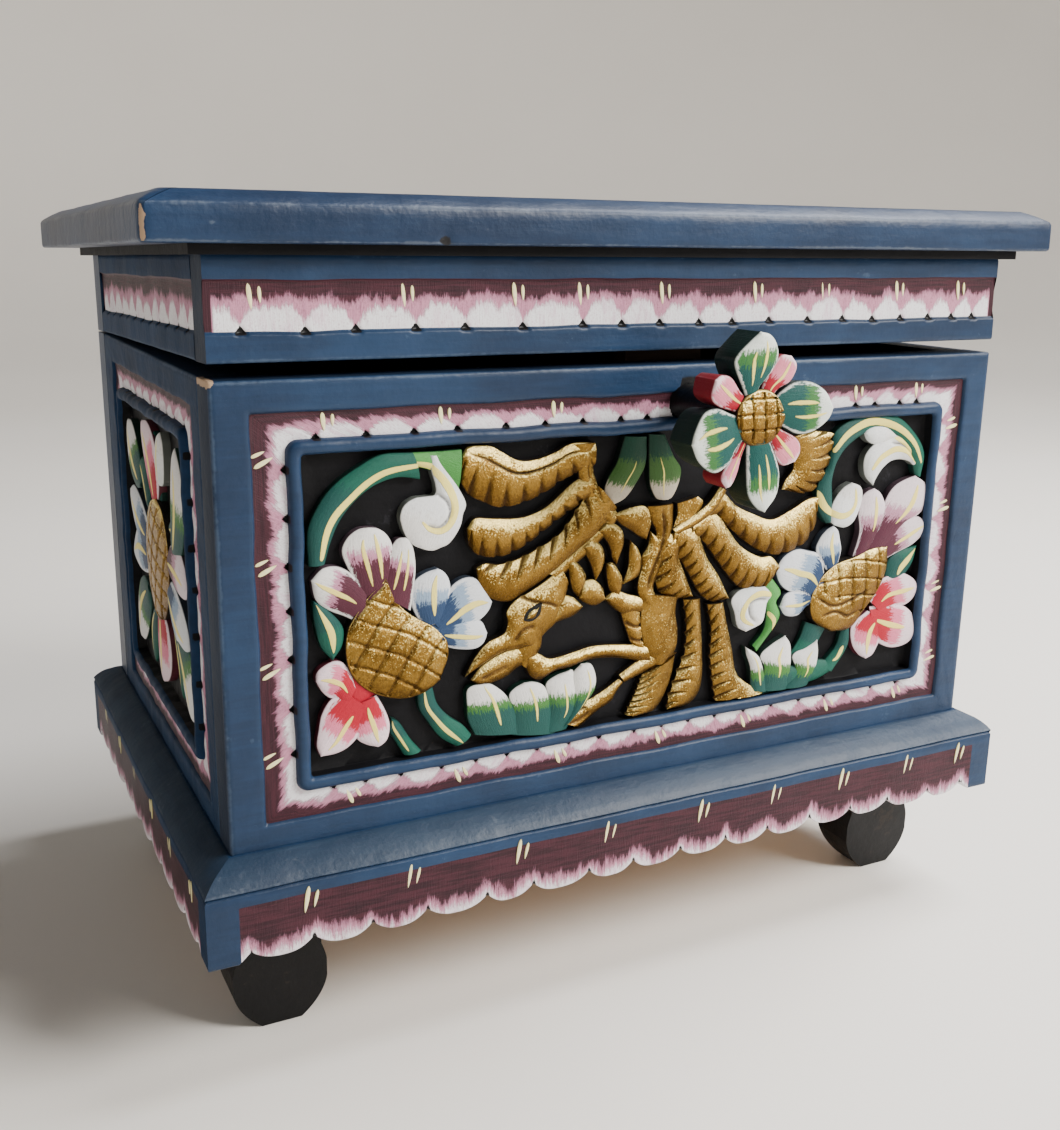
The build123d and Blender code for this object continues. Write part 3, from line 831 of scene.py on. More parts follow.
def carved_board(name, face, outer, panel, steps, seed, chips, node, bore=None, worn_corner=False):
    """Board with its sunk border, bead and hollow; panel is the box that the insets are measured from."""
    strip = inset(panel, *strip_inset)
    bead = inset(strip, *border_widths)
    rings, border_first, border_last, bead_last = board_rings(outer, strip, bead)
    flat, run = contour_stack(rings, steps, 0.45, seed)
    number = np.arange(len(rings))[:, None]
    cut, swell = bead_chips(flat, bead, chips)
    cut = cut * ((number > border_first + 5) & (number <= border_last + 3))
    corner = np.hypot(flat[..., 0] - outer[0], flat[..., 1] - outer[3])
    bare = np.clip(1.15 - corner / 4.2, 0, 1) * worn_corner * (number < border_first - 2)
    arris = np.zeros((*cut.shape, 4))
    arris[2:6, :, 0] = np.array([0.5, 1.0, 1.0, 0.35])[:, None]
    arris[7:10, :, 0] = 0.4
    arris[border_last + 3:border_last + 6, :, 0] = 0.3
    arris[..., 1:] = np.stack([cut, bare, swell], axis=-1)
    flat[..., 2] -= cut * 1.1 * (number <= border_last + 1)
    share = border_shares[np.clip(number - border_first, 0, border_last - border_first)]
    uv = np.stack([run + 0 * cut, share - 0.12 * (flat[..., 0] < bead[0])], axis=-1)
    tone = np.zeros((len(rings) - 1, 1), int)
    tone[border_first:border_last] = 1
    tone[bead_last:] = 2
    # The board's back and ends take the darker blue of painted shade.
    tone[:2] = 3
    part = grid(face.points(flat), uv, tone, {"arris": arris})
    materials = [blue_along(face), panel_border, ground_and_shade_paint, edge_shade_paint]
    return make_piece(name, [part], materials, "box", 50, (node,), bore)


def blue_along(face):
    """The blue whose brush streaks run along the face."""
    return blue_paint if abs(face.along[0]) > 0.5 else side_blue_paint


rings = board_rings((0, 200, 0, 200), (10, 190, 10, 190), (22, 178, 22, 178))[0]
print("a carved board is a stack of", len(rings), "rings")

# %% [markdown]
# ## The three carved boards
# The front board covers the ends of the side boards. Its chips at the top were read
# off the photograph; the others follow its rhythm, about 15 mm apart. The locking
# peg's round shaft goes through the front board. Its hole could be drawn into the stack,
# but the stack follows the rim, so a cylinder is taken away at the end.

# %% Front and side boards
front_outer = (-half_width, half_width, base_z, body_top_z)
front_panel = (-half_width, half_width, plinth_top_z, body_top_z)
top_chips = [-138.5, -120, -102, -85, -65.5, -49, -33, -16, -4, 12, 30, 48, 66, 84, 101, 111.5, 125.5, 135.5]
peg_hole = {"x": peg_x, "z": peg_z, "radius": 7.58, "front": front_y - 4, "back": front_y + board_thick + 4,
            "tone": 2}
front_chips = [spaced(122, 228, 15.5, 5), spaced(120, 230, 13.5, 8), spaced(-136, 138, 13.8, 4), top_chips]
carved_board("front_board_painted", front_face, front_outer, front_panel, (380, 200, 7), 3, front_chips,
             "front_board", peg_hole, worn_corner=True)
side_end = 212.0
side_outer = (board_thick, side_end, base_z, body_top_z)
side_panel = (board_thick, 206.6, plinth_top_z, body_top_z)
side_chips = [spaced(122, 228, 15, 5), spaced(122, 228, 15, 6), spaced(48, 175, 15, 7),
              spaced(48, 175, 14, 8)]
for side_name, face in side_faces:
    carved_board(f"side_board_{side_name}_painted", face, side_outer, side_panel, (220, 190, 6), 11,
                 side_chips, f"side_board_{side_name}")

# %% [markdown]
# ## Mouldings that run straight
# The lid's rails and the plinth have the same section along their whole length, so a
# section is carried along a line. A station is one section; near the ends of the
# plinth the stations are cut back to the mitre. The sections are closed, and the end
# stations are drawn together to a point, which closes the ends.

# %% Section carried along a line


def carry(section, run, place, reach=None):
    """Closed section of (W, V) pairs carried along run; reach gives how far U may go for a given W."""
    u = np.repeat(run[:, None], section.shape[-2], axis=1)
    w = np.broadcast_to(section[..., 0], u.shape)
    v = np.broadcast_to(section[..., 1], u.shape)
    if reach is not None:
        u = np.clip(u, -reach(w), reach(w))
    return place(close_ends(np.stack([u, v, w], axis=-1)))


def end_to_end(values):
    """The values with the first and the last repeated, for the rows that close_ends adds."""
    return np.concatenate([values[:1], values, values[-1:]])


def turn_lid(points):
    """The lid stands ajar: points are turned about the hinge axis by the rest angle."""
    angle = math.radians(lid_ajar_deg)
    y, z = points[..., 1] - hinge_y, points[..., 2] - hinge_z
    lifted = points.copy()
    lifted[..., 1] = hinge_y + y * math.cos(angle) + z * math.sin(angle)
    lifted[..., 2] = hinge_z - y * math.sin(angle) + z * math.cos(angle)
    return lifted


front_edge = turn_lid(np.array([[0, front_y, rail_base_z]]))
print("the lid's front edge stands", round(front_edge[0, 2] - body_top_z, 1), "mm above the box")

# %% [markdown]
# ## Lid rails
# The rails under the lid board have a raised band below, a sunk brushed strip with
# chips along its foot, a fine maroon line and an upper band. The white strokes stop
# just short of the corners.

# %% Rails with a maroon line


def plain_paint(name, color):
    """One thick brushed paint: a darker and a full tone by noise, which also makes brush ridges."""
    finish = Finish(name)
    tone = finish.noise(finish.place, 220.0, 4.0, 0.6)
    darker = tuple(value * 0.7 for value in color[:3]) + (1.0,)
    return finish.done(finish.mix(darker, color, tone.step(0.3, 0.6)), 0.5, tone, 0.0002)


maroon_line = plain_paint("maroon_line_paint", maroon)
rail_step = 0.7
strip_rises = (10.2, 26.4)
strip_margin = 4.8
lower_band = [(-board_thick, 0.0), (-0.9, 0.0), (-0.25, 0.3), (0.0, 1.0), (0.0, 2.2), (0.0, 7.4), (0.0, 8.0),
              (0.0, 8.7), (-0.15, 9.3), (-0.9, 9.7), (-1.1, 10.2)]
strip_band = [(-1.1, 10.2 + up) for up in (0.8, 1.6, 2.4, 3.2, 5.0, 7.0, 9.0, 11.0, 13.0, 14.8, 16.2)]
upper_band = [(-0.8, 26.7), (-0.1, 27.1), (0.0, 27.8), (0.0, 29.0), (0.0, 32.9), (0.0, 34.2), (-0.4, 34.9),
              (-board_thick, 34.9), (-board_thick, 0.0)]


def carved_rail(name, face, u_low, u_high, chips, node):
    """The three bands carried along U, less the chips, and wavering by up to about a quarter of a mm."""
    low, high = rail_base_z, rail_top_z
    profile = np.array(lower_band + strip_band + upper_band) + np.array([0, low])
    strip_first, strip_last = len(lower_band) - 1, len(lower_band) + len(strip_band) - 1
    run = np.linspace(u_low, u_high, int((u_high - u_low) / rail_step))
    section = np.repeat(profile[None], len(run), axis=0)
    rise = profile[:, 1] - (low + 9.5)
    cut = chip_shape(nearest(run, chips)[:, None], rise, 2.5, 3.2, 1.0)
    cut = cut * ((profile[:, 1] > low + 8) & (profile[:, 1] < low + 13))
    inner = (profile[:, 1] > low + 5) & (profile[:, 1] < high - 5)
    section[..., 0] -= cut
    section[..., 0] += (np.abs(section[..., 0]) < 5) * 0.22 * ripple(run, 8, 60)[:, None]
    section[..., 1] += 0.25 * ripple(run + 15, 9, 70)[:, None] * inner
    points = carry(section, run, lambda flat: turn_lid(face.points(flat)))
    full = end_to_end(run)
    across = np.interp(profile[:, 1], [low + height for height in strip_rises], [1.0, 0.0])
    ends = np.clip(np.minimum(full - u_low, u_high - full) / strip_margin, 0, 1)
    uv = np.zeros((*points.shape[:2], 2))
    uv[..., 0] = full[:, None]
    uv[..., 1] = np.minimum(across, ends[:, None] * 2.0 - 0.8)
    arris = np.zeros((*points.shape[:2], 4))
    arris[1:-1, :, 1] = cut
    arris[:, 1:4, 0] = 0.9
    arris[:, 7:9, 0] = 0.4
    arris[:, -4:-2, 0] = 0.6
    arris[:, :, 3] = white_swell(nearest(full, chips))[:, None]
    tone = np.zeros((len(full) - 1, len(profile) - 1), int)
    tone[:, strip_first:strip_last] = 1
    tone[:, strip_last:strip_last + 2] = 2
    # The rail's ends take the darker blue of painted shade.
    tone[[0, -1]] = 3
    part = grid(points, uv, tone, {"arris": arris})
    materials = [blue_along(face), rail_border, maroon_line, edge_shade_paint]
    return make_piece(name, [part], materials, "lid", 50, (node,))


front_rail_chips = [-163, -141, -123, -101, -82, -59, -34, -17, 0, 18, 34, 52, 71.5, 90, 106, 121.5, 137, 151,
                    163]
carved_rail("lid_rail_front_painted", front_face, -half_width, half_width, front_rail_chips, "lid_rail_front")
side_rail_chips = np.arange(30, 212, 16.5)
for side_name, face in side_faces:
    rail = f"lid_rail_{side_name}"
    carved_rail(f"{rail}_painted", face, board_thick, side_end, side_rail_chips, rail)

# %% [markdown]
# ## Plinth
# The plinth's moulding slopes in at the top, has a scratched groove and a flat face,
# and its lower edge is cut in hanging scallops between two corner blocks. So the
# section changes along the run: the face's rows are spread evenly down to that edge.

# %% Plinth mouldings
plinth_out = 13.0
corner_block = 11.4
scallop_depth = 4.6
plinth_step = 0.75
face_top = 22.6
face_count = 12
moulding_top = [(0.0, 36.7), (1.0, 36.7), (2.6, 36.2), (5.0, 35.0), (7.4, 33.8), (9.6, 32.2), (11.6, 30.2),
                (12.6, 28.9), (13.0, 28.3), (12.6, 27.9), (11.9, 27.3), (12.7, 26.8), (13.0, 26.3),
                (13.0, face_top)]


def scallop_edge(u, half, seed, pitch=22.5, run_in=5.0):
    """Height of the lower edge: hanging round lobes, depth * |x|^2.8 in each, between two corner blocks."""
    start = half - corner_block - run_in
    count = max(1, round(2 * start / pitch))
    phase = (u + start) / (2 * start) * count
    phase = phase + 0.06 * ripple(phase * 20, seed + 2, 60) * (np.abs(u) < start)
    cell = np.abs((phase % 1.0) * 2 - 1)
    ramp = np.clip((half - corner_block - np.abs(u)) / run_in, 0, 1)
    return scallop_depth * np.where(np.abs(u) < start, cell**2.8, ramp)


def plinth_moulding(name, face, middle, half, seed, node):
    """Closed section carried along the body's side; U is measured from the middle of the side."""
    long_half = half + plinth_out
    run = np.linspace(-long_half, long_half, int(long_half * 2 / plinth_step))
    edge = scallop_edge(run, long_half, seed)
    wave = 0.25 * ripple(run, seed + 20, 70)
    first, bottom = len(moulding_top), len(moulding_top) + face_count
    section = np.zeros((len(run), bottom + 4, 2))
    section[:, :first] = moulding_top
    shares = np.linspace(0, 1, face_count + 1)[1:]
    section[:, first:bottom, 0] = plinth_out
    section[:, first:bottom, 1] = face_top + (edge[:, None] + 0.5 - face_top) * shares
    section[:, bottom:bottom + 3, 0] = (12.5, 6.0, 0.0)
    section[:, bottom:bottom + 3, 1] = edge[:, None]
    section[:, bottom + 3] = section[:, 0]
    section[..., 0] += (section[..., 0] > 1.5) * (wave[:, None] - 0.25)
    section[..., 1] += base_z
    points = carry(section, run, lambda flat: face.points(flat + np.array([middle, 0, 0])),
                   lambda w: half + w)
    full, edges = end_to_end(run), end_to_end(edge)
    heights = end_to_end(section)[..., 1] - base_z
    uv = np.stack([full[:, None] + 0 * heights, np.clip(1 - (heights - edges[:, None]) / 24.0, 0, 1)],
                  axis=-1)
    cusp = np.clip(edges / scallop_depth, 0, 1) ** 4 * (np.abs(full) < long_half - corner_block - 1)
    arris = np.zeros((*points.shape[:2], 4))
    arris[:, 7:9, 0] = 0.8
    arris[:, 0:2, 0] = 0.7
    arris[:, bottom - 1:bottom + 1, 0] = 0.4
    arris[:, bottom - 2:bottom + 1, 1] = cusp[:, None] * np.array([0.45, 0.9, 1.0])
    tone = np.zeros((len(full) - 1, bottom + 3), int)
    tone[:, 1:8] = 1
    on_face = np.abs(full[:-1]) < long_half - corner_block
    tone[:, first - 1:bottom + 1] = np.where(on_face[:, None], 2, 0)
    part = grid(points, uv, tone, {"arris": arris})
    materials = [blue_along(face), slope_paints[blue_along(face) is side_blue_paint], plinth_border]
    return make_piece(name, [part], materials, "box", 45, (node,))


slope_tones = (paint(40, 57, 76), paint(30, 45, 64), paint(100, 108, 118), 0.6)
slope_paints = (
    board_paint("plinth_slope_paint", *slope_tones),
    board_paint("plinth_side_slope_paint", *slope_tones, streak=side_streak, rough=0.55, shine=0.06))
half_depth = 114.0
plinth_moulding("plinth_front_painted", front_face, 0.0, half_width, 1, "plinth_front")
plinth_moulding("plinth_left_painted", left_face, half_depth, half_depth, 2, "plinth_left")
plinth_moulding("plinth_right_painted", right_face, half_depth, half_depth, 3, "plinth_right")
plinth_moulding("plinth_back_painted", back_face, 0.0, half_width, 4, "plinth_back")

# %% [markdown]
# ## Lid board
# A thick board with an upright edge and a bevel. It gets the most knocks: the arrises
# are scuffed pale, one corner is chipped to bare wood and the front edge has a gash.
# The board is a stack of rectangles again, from its underside to its top. Each row of
# the table is a ring: how far in, its corner radius, its height and its looseness.

# %% Lid board
lid_half = 195.5
lid_outer = (-lid_half, lid_half, front_y - 10.0, back_y + 18.0)
lid_rings = [(0.8, 1.5, 0.0, 0), (0.2, 1.6, 0.5, 0.3), (0, 1.8, 1.4, 0.5), (0, 1.8, 4.5, 0.5),
             (0, 1.8, 8.5, 0.5),
             (0.1, 1.8, 11.2, 0.6), (0.6, 2.0, 12.3, 0.7), (1.6, 2.4, 13.1, 0.7), (4.5, 3.0, 14.8, 0.7),
             (7.6, 3.4, 16.3, 0.7), (8.9, 3.4, 16.8, 0.5), (11, 3.4, 16.95, 0.2), (40, 3, 16.98, 0)]
lid_spine = spine(lid_outer, 105.5)
lid_gash = (94.0, 1.2)


def make_lid_board():
    """Stack of the lid's rings, wavering inwards only, with its chipped corner and its gash pushed in."""
    rings = [(inset(lid_outer, by), *rest) for by, *rest in lid_rings]
    rings = [(lid_spine, 0, 0, 0), *rings, (lid_spine, 0, lid_rings[-1][2], 0)]
    flat, run = contour_stack(rings, (300, 200, 6), 0.4, 21)
    flat[..., :2] = np.clip(flat[..., :2], lid_outer[::2], lid_outer[1::2])
    points = flat + np.array([0, 0, lid_board_z])
    arris = np.zeros((len(rings), len(run), 4))
    arris[1:4, :, 0] = np.array([0.5, 1.0, 0.6])[:, None]
    arris[6:9, :, 0] = np.array([0.8, 1.0, 0.6])[:, None]
    arris[10:12, :, 0] = 0.45
    corner = np.hypot(flat[..., 0] - lid_outer[0], flat[..., 1] - lid_outer[2])
    chip_reach = 2.2 + 1.9 * np.sin(flat[..., 2] * 0.55) ** 2
    chipped = np.clip(1.1 - corner / chip_reach, 0, 1) * (flat[..., 2] > 0.4)
    beside, above = flat[..., 0] + lid_gash[0], flat[..., 2] - lid_gash[1]
    spread = np.hypot((beside + 0.7 * above) / 1.7, above) / 1.5
    gash = np.where(flat[..., 1] < front_y, np.clip(1.3 - spread, 0, 1), 0)
    arris[..., 1], arris[..., 2] = gash, chipped
    inward = np.clip(chipped, 0, 0.8)
    points[..., 0] += inward * 0.9
    points[..., 1] += gash * 0.8 + inward * 0.6
    part = grid(turn_lid(points), None, 0, {"arris": arris})
    return make_piece("lid_board_painted", [part], [lid_paint], "lid", 40, ("lid_board",))


make_lid_board()

# %% [markdown]
# ## Cuts of the knife
# The maker's cuts are of four kinds: chips along an edge that make a feather, a groove
# along a shape, two sets of straight cuts that make a seed head, and free grooves.
# They could be taken out with Booleans, which is slow for hundreds of cuts. Here every
# kind is a formula that says how deep a point of the surface lies, and how dark it is
# painted as shade in the cut.

# %% Grooves, hatching and brush lines
nowhere = -9.0


def tooth_wave(value, half):
    """Grooves at every half past a whole number: 1 in their middle, 0 at the half width."""
    return np.clip(1 - np.abs((value % 1.0) - 0.5) / half, 0, 1)


def line_gap(spots, line):
    """Distance of every spot to a smoothed line, and how far along it, 0 to 1, the nearest point lies."""
    line = smooth_line(line, 26)
    start, step = line[:-1], np.diff(line, axis=0)
    away = spots[..., None, :] - start
    part = np.clip((away * step).sum(-1) / (step**2).sum(-1), 0, 1)
    gap = np.linalg.norm(away - part[..., None] * step, axis=-1)
    closest = gap.argmin(axis=-1)
    share = (closest + np.take_along_axis(part, closest[..., None], -1)[..., 0]) / len(step)
    return gap.min(axis=-1), share


def chip_cuts(s, t, count, side=1, turn=0.35):
    """Chips from one edge inwards: a tooth wave of count * s + a bend, wider and deeper near the edge."""
    part = np.clip((t * side + 0.15) / 1.1, 0, 1)
    bend = turn * (t * side + 1) ** 2 * 0.4
    dent = tooth_wave(s * count + bend, 0.05 + 0.2 * part) * (part > 0.02)
    return 1.9 * dent * part**0.5, 0.85 * dent * np.clip(part * 1.7, 0, 1)


def long_groove(s, t, across):
    """A groove along the shape at t = across, fading out at both ends."""
    dent = np.clip(1 - np.abs(t - across) / 0.12, 0, 1)
    dent = dent * np.sin(np.pi * np.clip(s * 1.15 - 0.05, 0, 1)) ** 0.3
    return 1.1 * dent, dent


def hatching(flat, s, t, pitch, angle, bend, reach=2):
    """Straight cuts a pitch apart at an angle in degrees, bowed by bend * x^2 / 100, as far as s = reach."""
    lean = math.radians(angle)
    across = flat[..., 0] * math.cos(lean) + flat[..., 1] * math.sin(lean)
    along = -flat[..., 0] * math.sin(lean) + flat[..., 1] * math.cos(lean)
    waver = bend * (along - along.mean()) ** 2 / 100 + 0.35 * ripple(along, int(pitch * 10), 30)
    dent = tooth_wave((across + waver) / pitch, 0.11) * (np.abs(t) < 0.97) * (s < reach)
    return dent, dent * 0.42


def free_groove(flat, line, half, deep):
    """A groove along a free line: deep * (1 - distance / half), shallow at the line's two ends."""
    gap, share = line_gap(flat, line)
    dent = np.clip(1 - gap / half, 0, 1) * np.clip(7 * share * (1 - share) + 0.35, 0, 1)
    return deep * dent, 0.8 * dent


def cut_shape(flat, s, t, options):
    """Depth and painted shade of all the cuts that the options name, added up."""
    cuts = []
    if options.get("cuts"):
        cuts.append(chip_cuts(s, t, options["cuts"], options.get("side", 1), options.get("turn", 0.35)))
    if options.get("groove") is not None:
        cuts.append(long_groove(s, t, options["groove"]))
    for row in options.get("hatch", ()):
        cuts.append(hatching(flat, s, t, *row, options.get("hatch_to", 2)))
    for row in options.get("grooves", ()):
        cuts.append(free_groove(flat, *row))
    depth = sum((cut for cut, _ in cuts), np.zeros(flat.shape[:2]))
    dark = sum((shade for _, shade in cuts), np.zeros(flat.shape[:2]))
    return depth, np.clip(dark, 0, 1)


def facing_up(points):
    """How far a surface faces up: 0.5 + V part of its unit normal, kept within 0 and 1."""
    normal = np.cross(np.gradient(points, axis=0), np.gradient(points, axis=1))
    normal = normal / np.maximum(np.linalg.norm(normal, axis=-1, keepdims=True), 1e-9)
    normal = normal * np.where(normal[..., 2:] < 0, -1, 1)
    return np.clip(0.5 + normal[..., 1], 0, 1)


def brush_lines(flat, lines):
    """How deep a spot lies inside a brush line, in millimetres; lines swell at the start and end thin."""
    inside = np.full(flat.shape[:2], nowhere)
    for line, width in lines:
        gap, share = line_gap(flat, line)
        half = width / 2 * np.sin(np.pi * np.clip(share * 0.94 + 0.03, 0, 1) ** 0.7) ** 0.45
        inside = np.maximum(inside, half - gap)
    return inside


print("gap and share of a spot by a line:", *line_gap(np.array([[[5.0, 3.0]]]), [(0, 0), (5, 0), (10, 0)]))

# %% [markdown]
# ## Carving with two edges
# Petals, leaves, feathers, a beak and a leg are all the same idea: two edges that run
# from a root to a tip. They could be sculpted one by one; a ruled surface between the
# two edges, domed across, with upright walls down to the ground, is a carved shape
# that a few numbers describe. The edges are given marks, smoothed.

# %% One carved shape
no_stroke = (9, 0.01, 0, 0.01)


def shape_paints(skin, strokes, along, across, cut, wall, drawn):
    """Attributes of a painted shape: skin, strokes, millimetres along and across, brush lines and the cuts'
    painted shade, walls.
    """
    zero = np.zeros_like(cut)
    wall_color = np.broadcast_to(skin["wall"][:3], (*cut.shape, 3))
    grain = [along[:, None] + zero, across, zero, zero + 1]
    first, second = [*strokes, no_stroke, no_stroke][:2]
    paints = {key: np.array(skin[key], float) for key in ("root", "middle", "rim")}
    paints["wall"] = np.concatenate([wall_color, wall[..., None]], axis=-1)
    paints["grain"] = np.stack(grain, axis=-1)
    paints["brush"] = np.stack([drawn, cut, zero, zero + 1], axis=-1)
    paints["stroke_one"], paints["stroke_two"] = np.array(first, float), np.array(second, float)
    return paints


def carved(face, left, right, edge=-1.0, crown=1.5, skin=None, strokes=(), lines=(), low=-4.9,
           size=(26, 13), taper=0.0, lip=0.35, **options):
    """Point = left(s) (1 - t) / 2 + right(s) (1 + t) / 2; height = edge + crown (1 - |t|^2.4) sqrt(width).

    The walls go down to low, drawn in by taper; lip is how far the top's rim is rounded over.
    """
    rows, cols = size
    top = (slice(None), slice(2, 2 + cols))
    left, right = smooth_line(left, rows), smooth_line(right, rows)
    s = np.linspace(0, 1, rows)[:, None]
    t = np.sin(np.linspace(-np.pi / 2, np.pi / 2, cols))[None, :]
    width = np.linalg.norm(right - left, axis=1)
    length = np.linalg.norm(np.diff((left + right) / 2, axis=0), axis=1).sum()
    share = 2 * np.minimum(lip, 0.3 * width) / np.maximum(width, 1e-6)
    inner = (t * (1 - share[:, None]))[..., None]
    flat = left[:, None] * (1 - inner) / 2 + right[:, None] * (1 + inner) / 2
    swell = np.sqrt(np.clip(width / width.max(), 0, 1))[:, None]
    edge = np.atleast_1d(edge)
    rim = np.interp(s[:, 0], np.linspace(0, 1, len(edge)), edge)[:, None]
    depth, dark = cut_shape(flat, s, t, options)
    depth = depth * np.minimum(1, width / 4)[:, None]
    level = rim + crown * swell * (1 - np.abs(t) ** 2.4) - depth
    middle = (left + right)[:, None] / 2
    low_left, low_right = (side[:, None] + (middle - side[:, None]) * taper for side in (left, right))
    spots = np.concatenate([low_left, left[:, None], flat, right[:, None], low_right, low_left], axis=1)
    floor_row = np.full((rows, 1), low)
    walls = np.minimum(rim - lip, level[:, [0, -1]] - lip * 0.5)
    heights = np.concatenate([floor_row, walls[:, :1], level, walls[:, 1:], floor_row, floor_row], axis=1)
    points = np.concatenate([spots, heights[..., None]], axis=-1)
    # The lean: how far each point of the top faces up, the cuts eased; the gold turns it into painted
    # highlight and painted shade.
    eased = points.copy()
    eased[(*top, 2)] += 0.75 * depth
    lean = end_to_end(facing_up(eased))
    points = close_ends(points)
    across = np.concatenate([[-1, -1], t[0], [1, 1, -1]])
    along = np.concatenate([[0], s[:, 0], [1]])
    wall = np.ones(lean.shape)
    wall[1:-1][top] = 0
    cut = np.zeros(lean.shape)
    cut[1:-1][top] = dark
    zero = np.zeros_like(cut)
    # Arris red holds the lean, for the gold's painted light; green holds the cuts and the walls, which are
    # painted as shade.
    paints = {"arris": np.stack([lean, np.maximum(cut, wall), zero, zero + 1], axis=-1)}
    if skin is not None:
        drawn = np.full(cut.shape, nowhere)
        drawn[1:-1][top] = brush_lines(flat, lines)
        across_mm = across * end_to_end(width)[:, None] / 2
        paints.update(shape_paints(skin, strokes, along * length, across_mm, cut, wall, drawn))
    uv = np.stack(np.broadcast_arrays(along[:, None], across[None, :]), axis=-1)
    return grid(face.points(points), uv, 0, paints)


def lay_out(face, shapes):
    """Turns rows (skin or none, left marks, right marks, options) into grids; semicolons part line marks."""
    parts = []
    for *skins, left, right, options in shapes:
        options = dict(options)
        for key, rest in (("lines", (options.get("thick", 2.2),)), ("grooves", (1.2, 1.2))):
            if key in options:
                options[key] = [(face.marks(line), *rest) for line in options[key].split(";")]
        if "size" not in options and options.get("cuts"):
            options["size"] = (15 * options["cuts"] + 1, 25)
        edges = face.marks(left), face.marks(right)
        parts.append(carved(face, *edges, skin=skins[0] if skins else None, **options))
    return parts


test_shape = carved(front_face, [(0, 0), (0, 5), (0, 10)], [(8, 0), (8, 5), (8, 10)])
print("a carved strip of 8 by 10 mm is a grid of", test_shape["points"].shape[:2], "points")

# %% [markdown]
# ## Paints of the flowers and leaves
# Each kind has its own three colours. The numbers after them say where along the
# shape the middle colour and the rim begin, and how far the rim comes down the sides.
# A threshold of 2 is never reached, so such a shape has no rim. The last colour is
# the shaded wall's, darker than the top.

# %% Skins


def skin(root, middle, rim, middle_at, rim_at, side, wall):
    """Three paints from root to tip, where the last two begin, how far the rim comes down, the walls."""
    return {"root": paint(*root)[:3] + (middle_at,), "middle": paint(*middle)[:3] + (rim_at,),
            "rim": paint(*rim)[:3] + (side,), "wall": paint(*wall)}


teal, leaf, off_white = (25, 71, 66), (62, 112, 50), (218, 217, 214)
green_arc = skin(teal, (24, 84, 70), teal, 0.5, 2.0, 0, (14, 44, 38))
light_green = skin((80, 146, 74), (64, 128, 60), teal, 0.5, 2.0, 0, (18, 48, 34))
white_tip = skin(teal, leaf, off_white, 0.4, 0.52, 0, (20, 44, 36))
pointed_leaf = skin(teal, leaf, off_white, 0.24, 0.42, 0, (30, 44, 40))
dusky_tip = skin((18, 56, 42), (54, 88, 40), (178, 168, 150), 0.3, 0.64, 0, (12, 22, 18))
mauve = skin((76, 34, 48), (182, 126, 150), off_white, 0.46, 0.58, 0.66, (70, 56, 64))
soft_mauve = skin((78, 36, 52), (176, 130, 150), (218, 204, 210), 0.38, 0.52, 0.58, (66, 52, 60))
pale_blue = skin((40, 62, 94), (136, 158, 182), (212, 216, 220), 0.34, 0.52, 0.6, (52, 60, 72))
rose = skin((168, 26, 46), (214, 116, 142), (226, 204, 212), 0.36, 0.56, 0.68, (80, 34, 44))
rose_heart = skin((168, 26, 46), (190, 62, 88), (214, 116, 142), 0.7, 2.0, 0, (80, 34, 44))
curl_white = skin((212, 216, 214), (222, 224, 224), off_white, 0.3, 0.6, 0, (88, 92, 88))
cream_skin = skin((236, 228, 168), (240, 233, 180), (236, 228, 168), 0.4, 2.0, 0, (200, 190, 130))
eye_black = skin((14, 14, 15), (14, 14, 15), (14, 14, 15), 0.4, 2.0, 0, (12, 12, 12))
print("a rose petal's root, middle and rim:", *(np.round(rose[key], 2) for key in ("root", "middle", "rim")))

# %% [markdown]
# ## The front panel's flowers and leaves
# Each row of the list is one carved shape: its paint, the marks of its left edge and
# of its right edge, both from root to tip, and what is special about it. The marks
# were placed on the photograph, because no formula gives such flowers.

